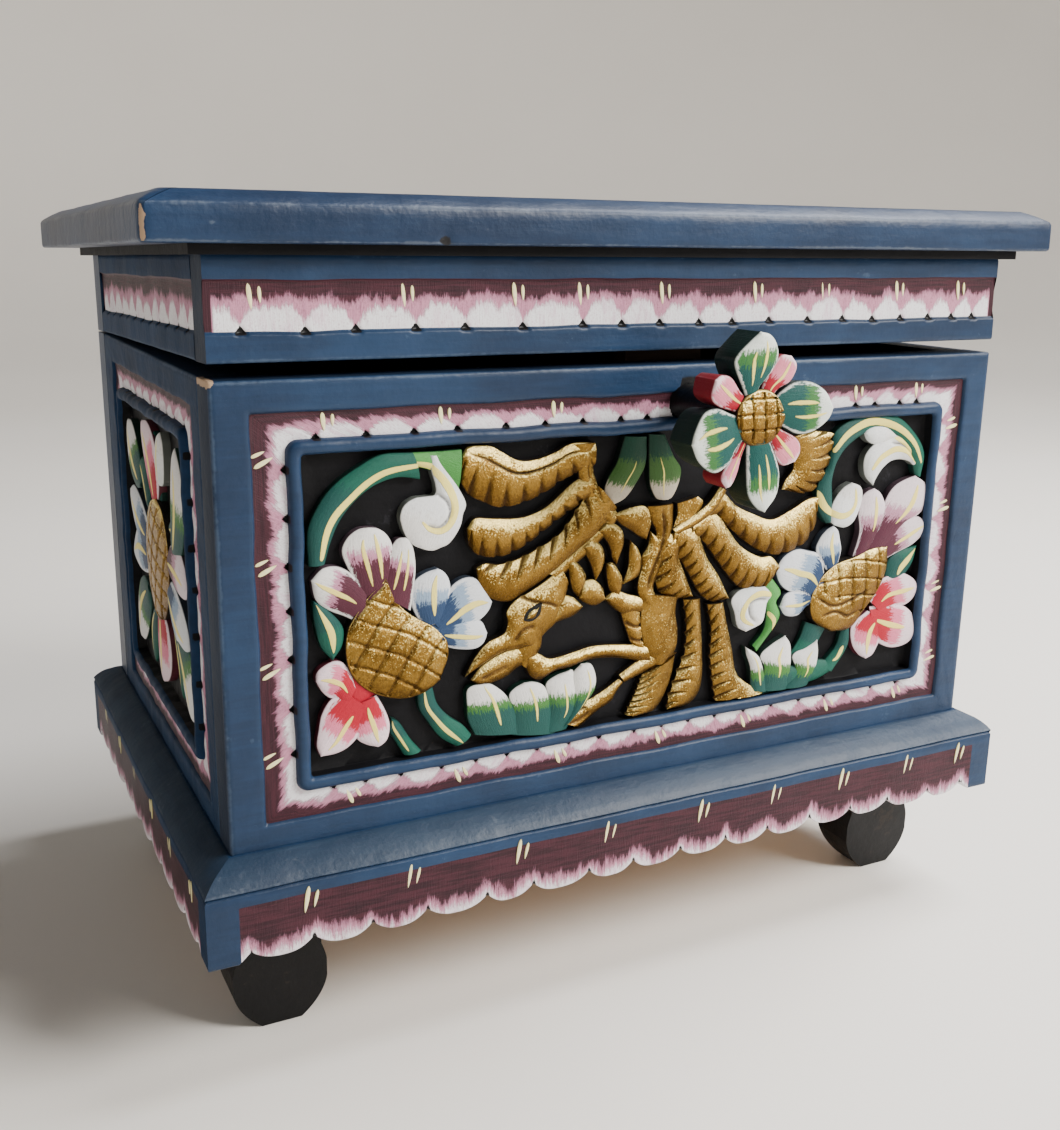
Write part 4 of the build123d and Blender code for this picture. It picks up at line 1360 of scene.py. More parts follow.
# %% Front flowers
one_line = [(0.0, 0.15, 0.12, 0.8)]
two_lines = [(-0.3, 0.1, 0.15, 0.72), (0.3, 0.1, 0.2, 0.78)]
front_left_flowers = [
    (green_arc, "308,566 307,531 319,503 334,484 355,468 381,454 412,452",
     "324,564 330,542 340,519 357,498 376,484 398,477 419,479",
     {"thick": 2.9, "lines": "320,558 325,532 334,514 349,498 366,482 385,471 413,465 430,463",
      "size": (70, 17)}),
    (light_green, "411,452 437,451 461,449", "413,466 433,472 457,492",
     {"edge": -1.4, "size": (40, 17), "thick": 2.9, "lines": "398,467 412,465 428,466 440,472 448,482"}),
    (curl_white,
     "428,455 430,470 434,484 434,494 425,496 413,498 403,505 399,516 401,527 406,538 413,545 424,549",
     "436,455 441,462 450,474 458,488 465,503 462,514 460,524 455,534 448,543 440,547 432,550 424,549",
     {"size": (90, 41), "edge": -0.7, "crown": 1.7,
      "thick": 3.2,
      "lines": "424,462 433,470 442,480 450,494 453,510 448,523 438,530 427,528 420,521",
      "grooves": "434,492 444,500 448,511 444,520 435,527 424,524"}),
    (mauve, "366,590 352,574 337,566 322,568 310,580", "360,624 344,616 328,610 315,600 310,580",
     {"strokes": [(0.05, 0.13, 0.15, 0.9)], "size": (34, 15)}),
    (mauve, "364,602 349,572 341,552 346,538 357,529 368,527",
     "392,590 393,566 392,546 386,534 377,528 368,527",
     {"strokes": two_lines, "size": (34, 17)}),
    (mauve, "376,592 384,566 391,546 397,538 405,537", "410,610 413,590 415,567 413,549 409,540 405,537",
     {"strokes": two_lines, "size": (34, 15)}),
    (pale_blue, "420,626 411,606 410,592 414,580 425,572 437,568",
     "446,618 450,600 450,588 448,578 443,571 437,568",
     {"strokes": one_line}),
    (pale_blue, "428,616 443,597 452,584 464,577 475,578 484,590 491,601",
     "446,638 466,627 478,620 484,615 489,608 491,601",
     {"strokes": [(0.1, 0.16, 0.1, 0.85)]}),
    (pale_blue, "430,622 452,616 470,617 481,621 486,632", "436,640 448,647 462,649 475,648 483,642 486,632",
     {"strokes": [(0.1, 0.16, 0.15, 0.8)]}),
    (green_arc, "312,601 313,619 320,646 332,660", "314,601 328,610 342,626 342,644 332,660",
     {"strokes": [(-0.1, 0.3, 0.05, 0.85)]}),
    (rose_heart, "346,674 341,688 344,702 350,714", "378,690 372,703 363,712 350,714", {"edge": -1.9}),
    (rose, "356,684 346,665 336,660 325,664 316,672 315,681", "342,708 335,699 328,697 321,691 315,681",
     {"strokes": one_line}),
    (rose, "342,690 329,700 321,714 318,728 316,745 320,756",
     "376,712 366,726 357,737 347,747 335,753 320,756",
     {"strokes": [(0.1, 0.12, 0.2, 0.8)], "size": (34, 17)}),
    (rose, "352,704 350,722 356,738 366,744 377,746", "376,694 384,708 389,722 388,735 384,742 377,746",
     {"strokes": one_line}),
    (green_arc, "391,718 388,728 396,742 404,755", "391,718 399,722 410,738 421,750",
     {"strokes": [(-0.4, 0.24, 0.05, 0.9)], "edge": -1.6}),
    (green_arc, "417,690 419,708 428,722 440,737 456,746", "432,686 437,703 449,716 462,724 471,734",
     {"strokes": [(-0.3, 0.24, 0.0, 1.0)], "edge": -1.5, "size": (34, 13)}),
    (white_tip, "474,734 467,719 466,704 466,690 472,685 479,684",
     "520,732 515,712 505,694 492,684 485,683 479,684",
     {"strokes": [(0.15, 0.09, 0.15, 0.85)], "size": (36, 17)}),
    (white_tip, "510,734 513,712 508,696 513,688 523,682", "555,732 551,715 548,696 543,685 533,681 523,682",
     {"strokes": [(0.1, 0.08, 0.2, 0.75)], "size": (36, 17)}),
    (white_tip, "538,732 548,712 547,695 545,683 555,675 565,671",
     "566,728 576,708 576,690 574,678 572,669 565,671",
     {"strokes": [(0.1, 0.08, 0.2, 0.7)], "edge": (-1.3, -1.1)}),
    (white_tip, "558,728 568,712 572,690 571,674 580,663", "573,716 587,699 594,688 595,675 590,663 580,663",
     {"strokes": [(0.3, 0.1, 0.2, 0.8)]}),
    (dusky_tip, "624,436 616,462 607,478 603,494 611,505", "646,436 645,462 638,478 625,497 611,505",
     {"strokes": [(0.1, 0.05, 0.3, 0.75)]}),
    (dusky_tip, "648,434 648,466 649,484 655,498 663,499", "664,434 673,456 680,468 678,482 671,497 663,499",
     {"strokes": [(-0.3, 0.05, 0.3, 0.85)]}),
]
front_right_flowers = [
    (green_arc,
     "825,523 817,510 815,493 819,479 826,467 830,450 834,432 852,419 872,414 896,416 914,433 923,453 919,477",
     "830,520 831,506 831,494 831,480 835,464 843,450 852,441 862,434 874,429 888,431 900,440 909,455 913,474",
     {"size": (90, 21), "thick": 3.3,
      "lines": "832,450 841,437 852,428 868,421 886,423 901,431 912,444 918,462;"
               "816,492 821,505 829,512 838,515"}),
    (curl_white, "862,433 866,427 874,424 885,426 896,436", "862,433 865,440 872,444 882,443 896,436",
     {"edge": -0.7}),
    (curl_white, "871,485 863,475 862,461 866,451 874,443 886,436 898,436 908,446 917,464",
     "871,485 875,477 881,468 889,461 898,459 907,461 912,465 917,464",
     {"size": (60, 27), "edge": (-0.7, -0.8), "thick": 2.8,
      "lines": "869,468 876,458 884,452 893,448 903,450 909,456 916,465;893,437 902,441 909,448 915,457",
      "grooves": "888,442 899,444 908,452 914,462"}),
    (curl_white, "829,522 829,510 833,499 841,488 850,482",
     "833,525 843,527 852,521 858,508 861,495 859,486 850,482",
     {"size": (44, 27), "edge": -0.7, "thick": 3.0,
      "lines": "816,492 821,503 828,511 838,515 847,511 852,502 852,488"}),
    (soft_mauve, "851,556 858,532 857,512 860,498 866,491 873,488",
     "868,548 880,524 884,508 883,500 879,492 873,488",
     {"strokes": [(0.1, 0.14, 0.3, 0.8)]}),
    (soft_mauve, "862,552 876,524 884,500 892,487 902,480 914,475",
     "888,548 902,524 917,514 926,502 926,485 914,475",
     {"strokes": [(0.1, 0.13, 0.3, 0.8)], "size": (34, 17)}),
    (soft_mauve, "870,548 890,530 906,518 917,516 925,522", "878,562 896,552 911,544 922,533 925,522",
     {"strokes": [(0.0, 0.16, 0.3, 0.85)]}),
    (pale_blue, "826,572 815,552 818,539 825,530 832,525", "836,566 840,550 839,540 837,530 832,525",
     {"strokes": one_line}),
    (pale_blue, "824,582 820,556 806,550 795,549 783,556 774,569", "812,600 800,594 786,590 778,582 774,569",
     {"strokes": one_line, "size": (34, 17)}),
    (pale_blue, "814,594 800,591 790,591 783,595 778,606", "810,604 805,606 796,615 784,615 778,606",
     {"strokes": one_line}),
    (light_green, "762,582 764,596 766,612 763,630 752,645", "772,578 781,592 776,602 779,618 756,652",
     {"edge": -1.7, "lines": "767,612 772,620 771,632"}),
    (curl_white, "752,586 738,590 730,600 733,612 736,626 744,631",
     "764,586 772,594 766,602 764,612 760,623 744,631",
     {"size": (50, 31), "edge": -0.9, "crown": 1.8,
      "thick": 2.8,
      "lines": "771,594 757,592 746,599 740,610 741,619 750,624",
      "grooves": "766,599 756,598 747,603 747,614 753,621"}),
    (rose, "868,600 876,582 885,576 899,572 911,577 917,585", "878,612 893,606 904,604 912,597 917,585",
     {"strokes": one_line}),
    (rose, "868,606 884,602 900,604 911,613 914,628", "868,632 878,643 890,647 903,644 911,637 914,628",
     {"strokes": [(-0.1, 0.14, 0.05, 0.62)], "size": (34, 17)}),
    (rose, "866,610 852,622 849,632 851,645 857,654 864,658", "884,622 880,636 876,645 871,654 864,658",
     {"strokes": one_line}),
    (green_arc, "884,576 888,560 900,550 916,545", "900,580 910,566 914,556 916,545",
     {"strokes": [(0.1, 0.28, 0.1, 0.9)], "edge": -1.7}),
    (green_arc, "806,622 800,638 790,654", "826,628 817,644 806,660", {"edge": -2.2}),
    (green_arc, "842,628 836,646 820,666", "850,626 848,646 832,672",
     {"edge": -2.2, "lines": "841,646 836,656 831,660"}),
    (pointed_leaf, "749,690 749,668 745,654 744,646", "766,690 762,668 757,655 744,646",
     {"strokes": one_line}),
    (pointed_leaf, "758,690 763,668 759,655 770,644 784,635", "786,688 789,670 790,656 789,643 784,635",
     {"strokes": [(0.0, 0.1, 0.2, 0.75)]}),
    (pointed_leaf, "782,688 794,670 791,655 803,647 816,639", "806,684 814,668 817,652 816,639",
     {"strokes": [(0.0, 0.1, 0.2, 0.75)]}),
    (green_arc, "749,684 766,674 790,666 812,660 829,660", "754,697 772,692 797,685 815,680 829,672",
     {"edge": -2}),
    (cream_skin, "815,668 821,667 828,668", "815,668 821,672 828,668", {"edge": -1.5, "crown": 0.6}),
]
front_shapes = front_left_flowers + front_right_flowers
make_piece("front_flowers", lay_out(front_face, front_shapes), [carved_paint], "box", 42)

# %% [markdown]
# ## The gold bird and the seed heads
# The bird stoops to the left with one wing behind its head and one under the knob.
# Feathers get chip cuts along their lower edges; the neck is a row of scales on black.

# %% Gold carving
bird_shapes = [
    ("594,442 571,443 554,452 535,459 518,460 502,452 491,446 478,445 466,447 461,455",
     "592,470 572,475 559,482 541,494 518,504 498,507 483,502 468,494 459,478 461,455",
     {"cuts": 9, "groove": -0.5, "crown": 2.1}),
    ("588,474 572,482 547,505 528,515 511,518 490,518 474,518 466,528",
     "594,494 580,503 559,518 540,533 523,546 501,556 478,555 468,543 466,528", {"cuts": 10, "crown": 2.0}),
    ("592,480 578,506 559,533 535,549 518,558 498,564 484,563 475,568",
     "616,508 598,531 572,554 545,577 520,594 508,601 490,598 479,585 475,568",
     {"cuts": 9, "crown": 1.7, "side": -1}),
    ("572,444 576,462 578,478 584,494 594,512 606,522", "594,442 592,466 595,480 601,494 611,507 616,516",
     {"edge": (-0.7, -0.9), "crown": 1.2, "size": (50, 13), "groove": 0.2}),
    ("547,573 572,552 596,529 614,509", "559,578 580,560 600,541 618,519", {"edge": -1.4, "crown": 0.8}),
    ("464,677 474,657 486,642 502,633 506,622 505,611 513,600 525,593 542,582 560,568",
     "464,677 478,667 492,657 506,650 520,648 534,648 542,634 556,620 563,602 568,584",
     {"edge": (-1.4, -0.6, -0.3, -0.6, -1.2), "crown": 1.9, "size": (90, 31),
      "grooves": "516,594 530,600 546,602 556,606;512,640 520,628 532,624;474,674 488,664 500,656"}),
    ("546,626 556,604 563,595 573,597 582,606", "546,626 560,620 571,616 578,611 582,606",
     {"edge": (-0.8, -1.2)}),
    ("470,680 480,667 494,657 508,650 520,645", "470,680 480,685 496,681 508,675 516,668 524,664",
     {"crown": 1.3, "edge": (-1.6, -1.5), "size": (40, 15), "grooves": "480,679 494,671 508,664"}),
    ("519,642 517,652 520,664", "541,632 539,648 526,668", {"edge": (-0.6, -1.2), "crown": 1.4}),
    ("646,506 651,522 655,534 646,552 639,572 636,588 640,602",
     "672,503 671,527 665,552 657,572 652,586 656,598 664,606",
     {"edge": (-0.8, -0.6), "crown": 1.6, "size": (60, 19),
      "grooves": "660,506 662,530 657,552 648,574 645,590"}),
    ("671,529 676,514 676,503", "700,509 702,501 697,496", {"edge": -0.9, "crown": 0.8}),
    ("670,528 690,515 706,502 717,486", "676,534 698,522 714,508 724,490",
     {"edge": (0.0, 0.2), "crown": 1.0}),
    ("706,505 719,490 735,505 751,513 770,519 789,510 806,499 817,496",
     "702,524 716,516 731,530 751,546 770,554 786,552 804,542 815,522 817,496", {"cuts": 10, "crown": 2.0}),
    ("692,520 706,510 719,517 738,544 758,556 770,556 779,566",
     "688,536 702,541 716,560 731,580 742,588 764,587 779,566",
     {"cuts": 10, "crown": 2.0}),
    ("674,526 686,522 697,533 706,557 718,576 728,598", "668,546 677,556 688,574 698,592 710,601 728,598",
     {"cuts": 9, "crown": 1.9}),
    ("668,532 680,536 678,556 684,574 692,596", "656,552 655,570 656,588 670,599 692,596",
     {"cuts": 6, "crown": 1.8, "size": (90, 23)}),
    ("778,440 790,452 792,468 784,480 780,489", "812,430 834,434 831,450 827,466 819,483 805,493 780,489",
     {"cuts": 8, "crown": 1.8}),
    ("530,650 540,654 550,658 571,652 589,646 608,644 644,644",
     "524,664 530,676 540,679 553,671 571,666 589,659 614,657 648,662",
     {"edge": (-1.2, -0.9), "crown": 1.8, "size": (60, 15)}),
    ("559,722 566,710 583,702 601,691 618,678", "580,726 595,712 610,701 616,691 622,683",
     {"edge": (-1.6, -1.2), "size": (60, 21), "grooves": "561,716 572,711 584,706;568,723 578,718 588,710"}),
    ("618,674 631,664 640,658 654,648", "623,682 642,672 661,663 676,652", {}),
    ("638,592 640,606 639,625 643,648 652,664", "676,596 674,612 676,630 674,648 664,661",
     {"edge": (-0.7, -0.5), "crown": 2.0, "size": (40, 19)}),
    ("620,612 625,628 632,646 644,662", "638,600 642,622 645,645 654,660",
     {"edge": (-1.5, -1.2), "crown": 1.3, "size": (46, 19),
      "grooves": "624,622 634,626 643,622;629,638 638,640 646,636"}),
    ("682,599 685,622 684,649 679,664 673,680 667,698 665,709",
     "699,598 700,620 701,649 701,675 697,692 686,704 665,709",
     {"cuts": 9, "side": -1, "crown": 1.9, "turn": -0.8}),
    ("706,604 710,628 709,655 711,680 714,700", "722,602 726,624 731,649 735,672 748,684 762,692",
     {"cuts": 9, "side": -1, "crown": 1.9, "turn": -0.8}),
    ("641,674 635,690 629,703 624,714", "674,654 670,675 662,696 652,710 636,715",
     {"cuts": 7, "side": -1, "crown": 1.9, "turn": -0.8}),
    ("611,514 630,507 645,506 651,520 645,539", "611,514 620,524 630,530 638,536 645,539",
     {"size": (30, 15)}),
    ("597,531 603,523 611,522 621,529 623,543 615,564", "597,531 606,541 610,550 611,557 615,564", {}),
    ("581,547 589,540 598,542 604,553 602,567 594,580", "581,547 589,562 592,571 594,580", {}),
    ("567,563 574,560 583,570 585,580 577,596", "567,563 569,579 572,590 577,596", {}),
    ("605,563 612,562 620,574 622,583 617,596", "605,563 606,578 609,590 617,596", {}),
    ("578,598 582,582 593,579 602,588 604,600", "578,598 585,603 594,605 604,600", {}),
    ("629,540 637,548 641,561 637,576 621,584", "629,540 628,552 627,567 621,584", {}),
    ("649,531 658,539 655,552 645,563 641,571", "649,531 647,545 641,556 641,571", {"crown": 1.3}),
    ("603,598 614,590 628,594 640,596", "603,598 612,607 624,614 640,612", {"crown": 1.4}),
]
seed_heads = [
    ("384,577 368,594 359,606 352,617 346,630 344,650 348,670 360,685 378,694 401,697 422,691 438,678",
     "384,577 391,591 400,606 415,617 431,625 444,637 446,655 438,678",
     {"edge": 0.2, "crown": 2.0, "size": (110, 75), "hatch": ((8.4, 63, 0.5), (8.6, -36, -0.6))}),
    ("884,545 868,548 852,556 838,561 828,567 816,580 808,598 808,614 814,623 827,630",
     "884,545 884,562 881,575 873,592 860,610 850,624 840,629 827,630",
     {"edge": 0.2, "crown": 2.0, "size": (110, 65), "hatch": ((7.6, 2, 0.3), (7.8, 86, 0.5)),
      "hatch_to": 0.62,
      "grooves": "813,596 828,604 846,598 864,588;818,614 830,610 842,614 852,610"}),
]
dark_eye = [(eye_black, "517,620 521,610 529,604 539,601", "517,620 528,622 537,614 539,601",
             {"edge": 1.1, "crown": 0.5})]
eye_ball = [("522,617 526,609 535,605", "522,617 531,616 535,605", {"edge": 1.5, "crown": 0.8})]
for name, shapes, finish in (("front_bird", bird_shapes, gold), ("front_seed_heads", seed_heads, gold),
                             ("front_bird_eye", dark_eye, carved_paint),
                             ("front_bird_eyeball", eye_ball, gold)):
    make_piece(name, lay_out(front_face, shapes), [finish], "box", 42)

# %% [markdown]
# ## The side panels
# The photograph shows the left side at a slant: a gold seed head among petals and
# leaves that point outwards. Each row gives a shape's paint, root and tip, in
# millimetres from the panel's middle, towards the front and upwards, and its width.
# The right side is hidden, and gets the same carving mirrored, as such boxes usually have.

# %% Side carving
side_middle = np.array([111.3, 172.0])
front_to_left = np.array([-1, 1])


def leaf_edges(root, tip, width, bend):
    """Edges of a bowed leaf: half width = width/2 * (0.22 + 0.78 sin(pi s^0.9)^0.6) * sqrt(1 - s^10)."""
    s = np.linspace(0, 1, 11)[:, None]
    root, tip = np.array(root, float), np.array(tip, float)
    normal = np.array([-(tip - root)[1], (tip - root)[0]]) / np.linalg.norm(tip - root)
    line = root + (tip - root) * s + bend * np.sin(np.pi * s) * normal
    half = width / 2 * (0.22 + 0.78 * np.clip(np.sin(np.pi * s**0.9), 0, 1) ** 0.6) * (1 - s**10) ** 0.5
    return [side_middle + edge * front_to_left for edge in (line + half * normal, line - half * normal)]


side_leaves = [
    (green_arc, (6, 22), (0, 54), 12, 3), (green_arc, (-20, 18), (-36, 38), 12, -3),
    (green_arc, (22, -22), (32, -52), 11, 4), (green_arc, (-16, -26), (-26, -54), 12, -4),
    (green_arc, (24, 18), (40, 26), 10, -2), (white_tip, (-32, 26), (-54, 52), 24, 4),
    (rose, (4, 24), (-20, 56), 25, -3), (curl_white, (14, 34), (18, 56), 15, 2),
    (white_tip, (34, 8), (46, 54), 24, -4), (pale_blue, (-20, 4), (-58, 20), 22, 3),
    (pale_blue, (-20, -4), (-58, -10), 22, -3), (soft_mauve, (20, 4), (57, 0), 20, 2),
    (pale_blue, (18, -8), (54, -24), 22, -3), (rose, (0, -22), (-4, -56), 27, 3),
    (white_tip, (-28, -20), (-54, -50), 24, -4), (white_tip, (34, -24), (54, -54), 23, 4),
]
side_seed = [(5, 27), (16, 23), (23, 12), (24, 0), (20, -13), (11, -23), (0, -27)]
side_seed_back = [(5, 27), (-8, 23), (-18, 14), (-23, 2), (-20, -12), (-11, -22), (0, -27)]
for side_name, face in side_faces:
    flowers = []
    for number, (leaf_skin, root, tip, width, bend) in enumerate(side_leaves):
        left, right = leaf_edges(root, tip, width, bend)
        edge = -2.2 if leaf_skin is green_arc else (-1.0 - 0.1 * (number % 3), -1.0)
        flowers.append(carved(face, left, right, edge, skin=leaf_skin, strokes=one_line, size=(32, 15)))
    make_piece(f"side_flowers_{side_name}", flowers, [carved_paint], "box", 42)
    left, right = [side_middle + np.array(marks) * front_to_left for marks in (side_seed, side_seed_back)]
    seed = carved(face, left, right, edge=-0.2, crown=2.2, size=(90, 61),
                  hatch=((8.4, 24, 0.3), (8.4, 112, -0.3)))
    make_piece(f"side_seed_head_{side_name}", [seed], [gold], "box", 42)

# %% [markdown]
# ## The flower knob
# The knob is a thick flower: four large green petals and four small pink ones round a
# gold eye, sawn out of one piece and tapering to the back. The petals are carved
# shapes again, only thicker, so the same function makes them. The marks are
# millimetres from the eye's middle, X to the right and Z upwards.

# %% Flower knob
knob_middle = np.array([peg_x, peg_z])
green_petal = skin((18, 74, 70), (56, 108, 54), (214, 222, 214), 0.5, 0.66, 0.7, (10, 32, 28))
pink_petal = skin((160, 28, 46), (220, 130, 150), (234, 206, 212), 0.44, 0.78, 0.8, (112, 20, 32))
short_lines = [(-0.3, 0.09, 0.24, 0.66), (0.28, 0.08, 0.34, 0.8)]
petals = [
    (green_petal, [(-5, 4), (-7.7, 10.3), (-12.6, 18.9), (-12.2, 22.8), (-7.1, 27.6), (-2.5, 31.2)],
     [(1, 5), (-0.8, 10.6), (2.8, 15), (5.6, 19.4), (6.4, 23.3), (5, 27.3), (2, 30.2), (-2.5, 31.2)],
     short_lines),
    (green_petal, [(4, 5), (9.8, 9.8), (15.3, 12.6), (22.3, 12.4), (29.3, 8.6), (33.0, 2.4)],
     [(5, -2), (10.9, -3.8), (17.6, -6.8), (24.8, -6.1), (31, -2.3), (33.0, 2.4)], short_lines),
    (green_petal, [(4, -6), (7.4, -12.3), (10.2, -20.4), (9.4, -29), (4, -35.2)],
     [(-4, -6), (-4.9, -12.1), (-4.6, -24.1), (-3.2, -29.3), (0.5, -33.6), (4, -35.2)], short_lines),
    (green_petal, [(-4, -6), (-9.3, -10.8), (-13, -16.4), (-19.2, -19), (-26.1, -14.8), (-29.9, -8)],
     [(-6, 1), (-12.0, 2), (-18.9, 4.4), (-24.8, 3.1), (-28.5, -3.1), (-29.9, -8)], short_lines),
    (pink_petal, [(-6, 1), (-11.4, 2.9), (-18, 4.9), (-21.6, 8.4), (-20.6, 14.6)],
     [(-2, 5), (-8.4, 9.9), (-13, 15.0), (-17.4, 16.2), (-20.6, 14.6)], one_line),
    (pink_petal, [(0, 6), (1.4, 12.4), (5.4, 20.0), (8.4, 22.6), (12.3, 22.2)],
     [(5, 4), (8, 9.7), (13.4, 12.9), (15.7, 18.4), (12.3, 22.2)], one_line),
    (pink_petal, [(6, -1), (10.6, -4.5), (18.2, -8.7), (19.8, -13.2), (17, -17.2)],
     [(3, -5), (6.3, -9.6), (8.6, -15.4), (12.1, -18.4), (17, -17.2)], one_line),
    (pink_petal, [(-2, -6), (-6.2, -13.2), (-8.4, -20), (-11, -24.4), (-13.6, -24.9)],
     [(-5, -4), (-9.6, -11.7), (-14, -17.4), (-15.7, -21.6), (-13.6, -24.9)], one_line),
]
large_cut = {"crown": 1.3, "edge": (46.2, 47.6, 48.0), "low": 33.6}
small_cut = {"crown": 1.0, "edge": (45.4, 46.6, 47.2), "low": 34.6}
knob_parts = []
for petal_skin, left, right, strokes in petals:
    cut = small_cut if petal_skin is pink_petal else large_cut
    edges = [knob_middle + np.array(marks) for marks in (left, right)]
    knob_parts.append(carved(front_face, *edges, skin=petal_skin, strokes=strokes, taper=0.1, size=(30, 15),
                             lip=0.6, **cut))
around = np.radians(np.linspace(0, 180, 15))


def disc(radius, **options):
    """A round boss: its two edges are half circles."""
    upper = knob_middle + radius * np.stack([-np.cos(around), np.sin(around)], axis=-1)
    lower = knob_middle + radius * np.stack([-np.cos(around), -np.sin(around)], axis=-1)
    return carved(front_face, upper, lower, **options)


hub_skin = skin((14, 22, 20), (14, 22, 20), (14, 22, 20), 0.5, 2.0, 0, (16, 26, 22))
knob_parts.append(disc(12.6, edge=43.5, crown=0.4, skin=hub_skin, low=33.2, size=(30, 15)))
make_piece("flower_knob_petals", knob_parts, [carved_paint], "flower_peg", 42,
           ("flower_knob",))
eye = disc(10.6, edge=47.6, crown=1.3, low=40, size=(64, 49), hatch=((5.4, 6, 0.0), (5.6, 92, 0.0)), lip=0.8)
make_piece("flower_knob_eye", [eye], [gold], "flower_peg", 42)

# %% [markdown]
# ## Cream brush strokes on the borders
# Pairs of short cream strokes cross the borders. They could be drawn into the paint,
# but on the real box they stand up from it. Each is a thin drop of paint: a pointed
# lens, 0.15 mm proud of the border it lies on.

# %% Cream strokes
first_width, second_width, pair_gap = 1.7, 1.3, 3.6
front_level, plinth_level, rail_level = -1.38, 12.85, -1.0


def drop_of_paint(face, start, end, width, level, place):
    """Thin drop from start to end: half width = width/2 * sin(pi s^0.7)^0.6, with its round end first."""
    s = np.linspace(0, 1, 12)[:, None]
    line = start + (end - start) * s
    across = np.array([-(end - start)[1], (end - start)[0]]) / np.linalg.norm(end - start)
    half = width / 2 * np.sin(np.pi * s**0.7) ** 0.6
    part = carved(face, line - across * half, line + across * half, edge=level, crown=0.12,
                  skin=cream_skin, low=level - 0.4, size=(12, 5), lip=0.05)
    return {**part, "points": place(part["points"])}


def stroke_pairs(face, pairs, level, place=np.array):
    """Two strokes for each (u, v, du, dv): the second is shorter and stands a gap to the right."""
    parts = []
    for u, v, du, dv in pairs:
        start, step = np.array([u, v], float), np.array([du, dv], float)
        side = pair_gap * np.array([dv, -du]) / math.hypot(du, dv)
        side = side if side[0] + side[1] > 0 else -side
        second = start + side + step * (0.1, 0.15)
        second_end = start + side * 0.9 + step * 0.8
        parts.append(drop_of_paint(face, start, start + step, first_width, level, place))
        parts.append(drop_of_paint(face, second, second_end, second_width, level, place))
    return parts


top_pairs = [(u, 246.0, 0.6, -6.6) for u in (-136, -92, -46, 62, 100, 134)]
bottom_pairs = [(u, 98.2, -2.6, 6.4) for u in (-128, -84, -40, 8, 52, 98, 138)]
left_pairs = [(-160.6, z, 6.8, 3.4) for z in (228, 190, 152, 118)]
right_pairs = [(160.6, z, -7.0, -1.6) for z in (226, 188, 150, 116)]
front_strokes = stroke_pairs(front_face, top_pairs + bottom_pairs + left_pairs + right_pairs, front_level)
plinth_pairs = [(u + 1.8, 76.0, -1.8, -10.5) for u in (-152, -112, -66, -26, 20, 58, 96, 134, 166)]
front_strokes += stroke_pairs(front_face, plinth_pairs, plinth_level)
make_piece("front_cream_strokes", front_strokes, [carved_paint], "box", 60)
rail_pairs = [(u, 284.5, 0.9, -8.6) for u in (-160, -106, -63, -36, 0, 44, 78, 118, 153)]
rail_strokes = stroke_pairs(front_face, rail_pairs, rail_level, turn_lid)
make_piece("lid_rail_cream_strokes", rail_strokes, [carved_paint], "lid", 60)
for side_name, face in side_faces:
    side_pairs = [(u, 75.5, 0.4, -9.0) for u in (10, 48, 86, 124, 162, 200)]
    side_strokes = stroke_pairs(face, side_pairs, plinth_level)
    make_piece(f"side_cream_strokes_{side_name}", side_strokes, [carved_paint], "box", 60)

# %% [markdown]
# ## Materials for the CAD pieces that stay
# Hinges, nails, feet and the hidden boards have the right shape already; they only
# need real finishes: dull brass, iron, black paint and plain sawn wood. The record
# names a slot for every node, and a second table names the nodes that look otherwise:
# the nails are painted over blue, and the lid's tongue and bed board, which sit in the
# gap under the lid, get dark wood and black as painted shade.

# %% Brass, iron and wood


def metal_finish(name, light, dark, rough):
    """Worn metal: tone from noise, darker stains over a threshold, fine scratches in the height."""
    finish = Finish(name)
    cloud = finish.noise(finish.place, 160.0, 4.0, 0.6)
    scratch = finish.noise(finish.scaled(finish.place, (1.0, 8.0, 8.0)), 500.0, 3.0, 0.6)
    color = finish.mix(dark, light, (cloud * 0.7 + scratch * 0.3).step(0.35, 0.62))
    return finish.done(color, rough + cloud * 0.2, scratch, 0.00008, 0.85)


def wood_finish(name, light, dark):
    """Sawn softwood: rings are noise stretched along the board, pores are finer stretched noise."""
    finish = Finish(name)
    rings = finish.noise(finish.scaled(finish.place, (1.0, 14.0, 14.0)), 9.0, 4.0, 0.6, 0.6)
    pores = finish.noise(finish.scaled(finish.place, (2.0, 60.0, 60.0)), 14.0, 3.0, 0.6)
    color = finish.mix(dark, light, (rings * 0.7 + pores * 0.3).step(0.3, 0.66))
    return finish.done(color, 0.66 + pores * 0.12, rings * 0.5 + pores * 0.5, 0.0003)


brass = metal_finish("dull_brass", paint(182, 152, 94), paint(148, 118, 68), 0.36)
iron = metal_finish("dull_iron", paint(96, 92, 90), paint(58, 44, 36), 0.45)
bare_wood = wood_finish("bare_wood", paint(196, 160, 116), paint(150, 110, 74))
finishes = {"carved_front": blue_paint, "blue_paint": blue_paint, "plinth_paint": blue_paint, "brass": brass,
            "black_paint": black_paint, "bare_wood": bare_wood, "flower_paint": black_paint, "iron": iron}
# The lid's tongue and bed board sit in the gap under the lid: the dark wood and the black there are painted
# shade.
shade_wood = wood_finish("painted_shade_wood", paint(64, 48, 38), paint(38, 28, 22))
painted_over_and_painted_shade = {"front_nails": blue_paint, "back_nails": blue_paint, "lid_tongue": shade_wood,
                "lid_bed_board": ground_and_shade_paint}
for row in frame["record"]["subparts"]:
    node = frame["nodes"][row["node"]]
    for place in node.material_slots:
        place.material = painted_over_and_painted_shade.get(row["node"], finishes[row["material_slot"]])
    print(row["node"], "has", len(node.material_slots), "slot(s)")

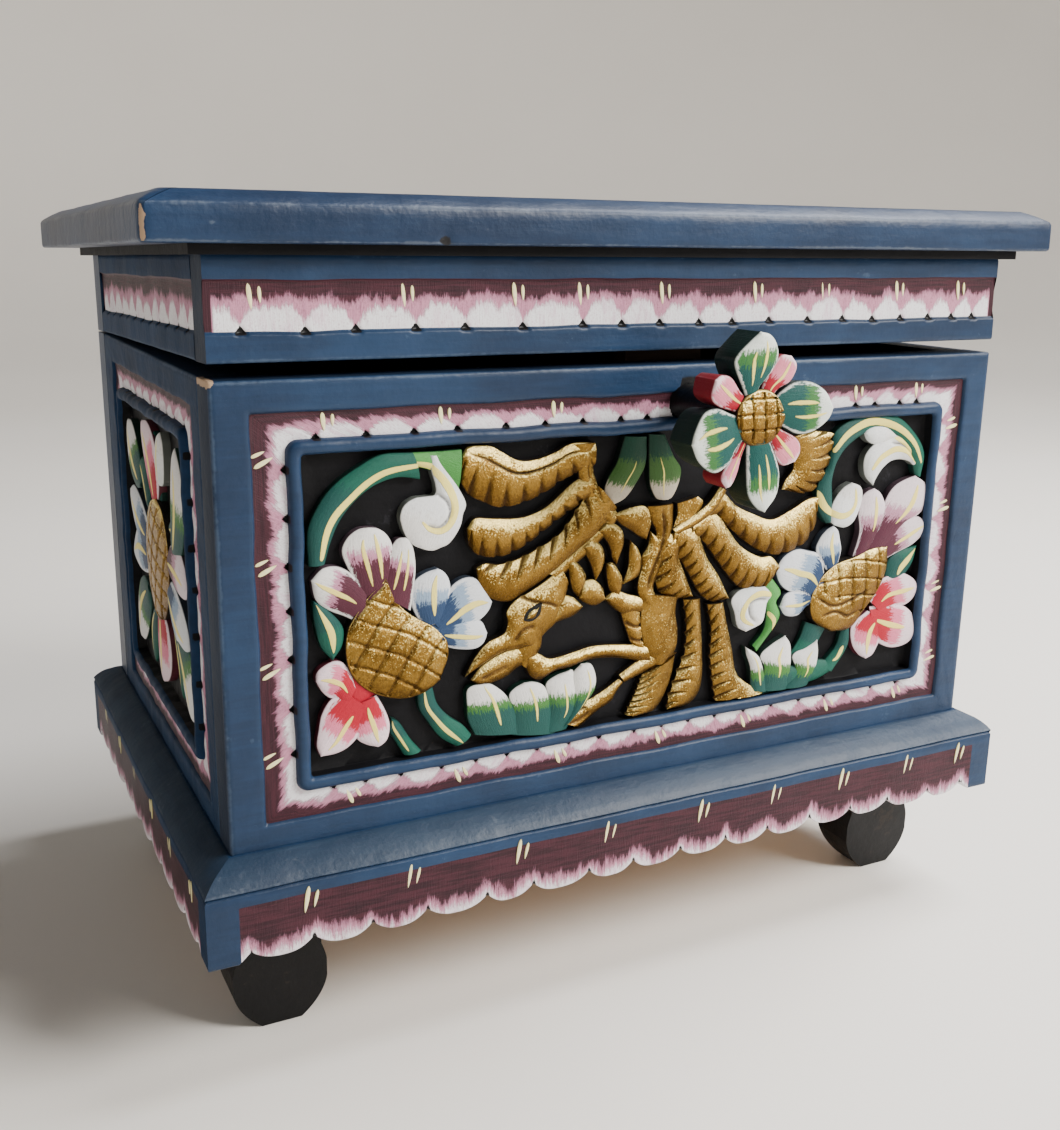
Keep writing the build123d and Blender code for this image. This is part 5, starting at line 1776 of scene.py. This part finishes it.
# %% [markdown]
# ## Floor and light
# The photograph was taken in soft daylight that comes from above, a little from the
# right and the front, so the left side lies in shade. A sun lamp would give hard
# shadows; two large soft lamps don't. A pale world fills the shadows, and the floor
# is plain and pale.

# %% Floor, world and lamps


def make_floor():
    """A wide dish: flat round the box, then curving up like a studio sweep; a turned profile in metres."""
    radii = [0.0, 0.6, 1.2, 1.8, 2.3, 2.7, 3.0, 3.2, 3.3, 3.34]
    rises = [0.0, 0.0, 0.0, 0.0, 0.03, 0.12, 0.3, 0.62, 1.1, 2.0]
    below_soles = 0.0002
    points = turned(radii, rises) - np.array([0, 0, below_soles])
    mesh = bpy.data.meshes.new("floor")
    mesh.from_pydata(points.reshape(-1, 3), [], grid_faces(*points.shape[:2]).tolist())
    mesh.shade_smooth()
    finish = Finish("pale_floor")
    cloud = finish.noise(finish.place, 3.0, 3.0, 0.5)
    mesh.materials.append(finish.done(finish.mix(paint(234, 229, 221), paint(240, 236, 229), cloud), 0.6))
    add_object("floor", mesh)


def make_lamp(name, place, aim, size, power, color):
    """A square soft lamp at a place, in metres, that shines at its aim; power is in watts."""
    data = bpy.data.lights.new(name, "AREA")
    data.size = size
    data.energy = power
    data.color = color
    back = np.array(place) - np.array(aim)
    back = back / np.linalg.norm(back)
    side = np.cross([0, 0, 1.0], back)
    side = side / np.linalg.norm(side)
    stand(add_object(name, data), (side, np.cross(back, side), back), place)
    print(name, "lamp:", size, "m wide,", power, "W")


make_floor()
world = bpy.data.worlds.new("studio")
world.use_nodes = True
world.node_tree.nodes["Background"].inputs["Color"].default_value = (0.86, 0.9, 0.96, 1)
world.node_tree.nodes["Background"].inputs["Strength"].default_value = 0.1
bpy.context.scene.world = world
make_lamp("window", (1.25, -1.35, 1.4), (0, 0, 0.15), 0.9, 92.0, (1.0, 0.97, 0.93))
make_lamp("ceiling", (1.05, 0.0, 1.75), (0, 0, 0.1), 1.0, 58.0, (0.98, 0.98, 1.0))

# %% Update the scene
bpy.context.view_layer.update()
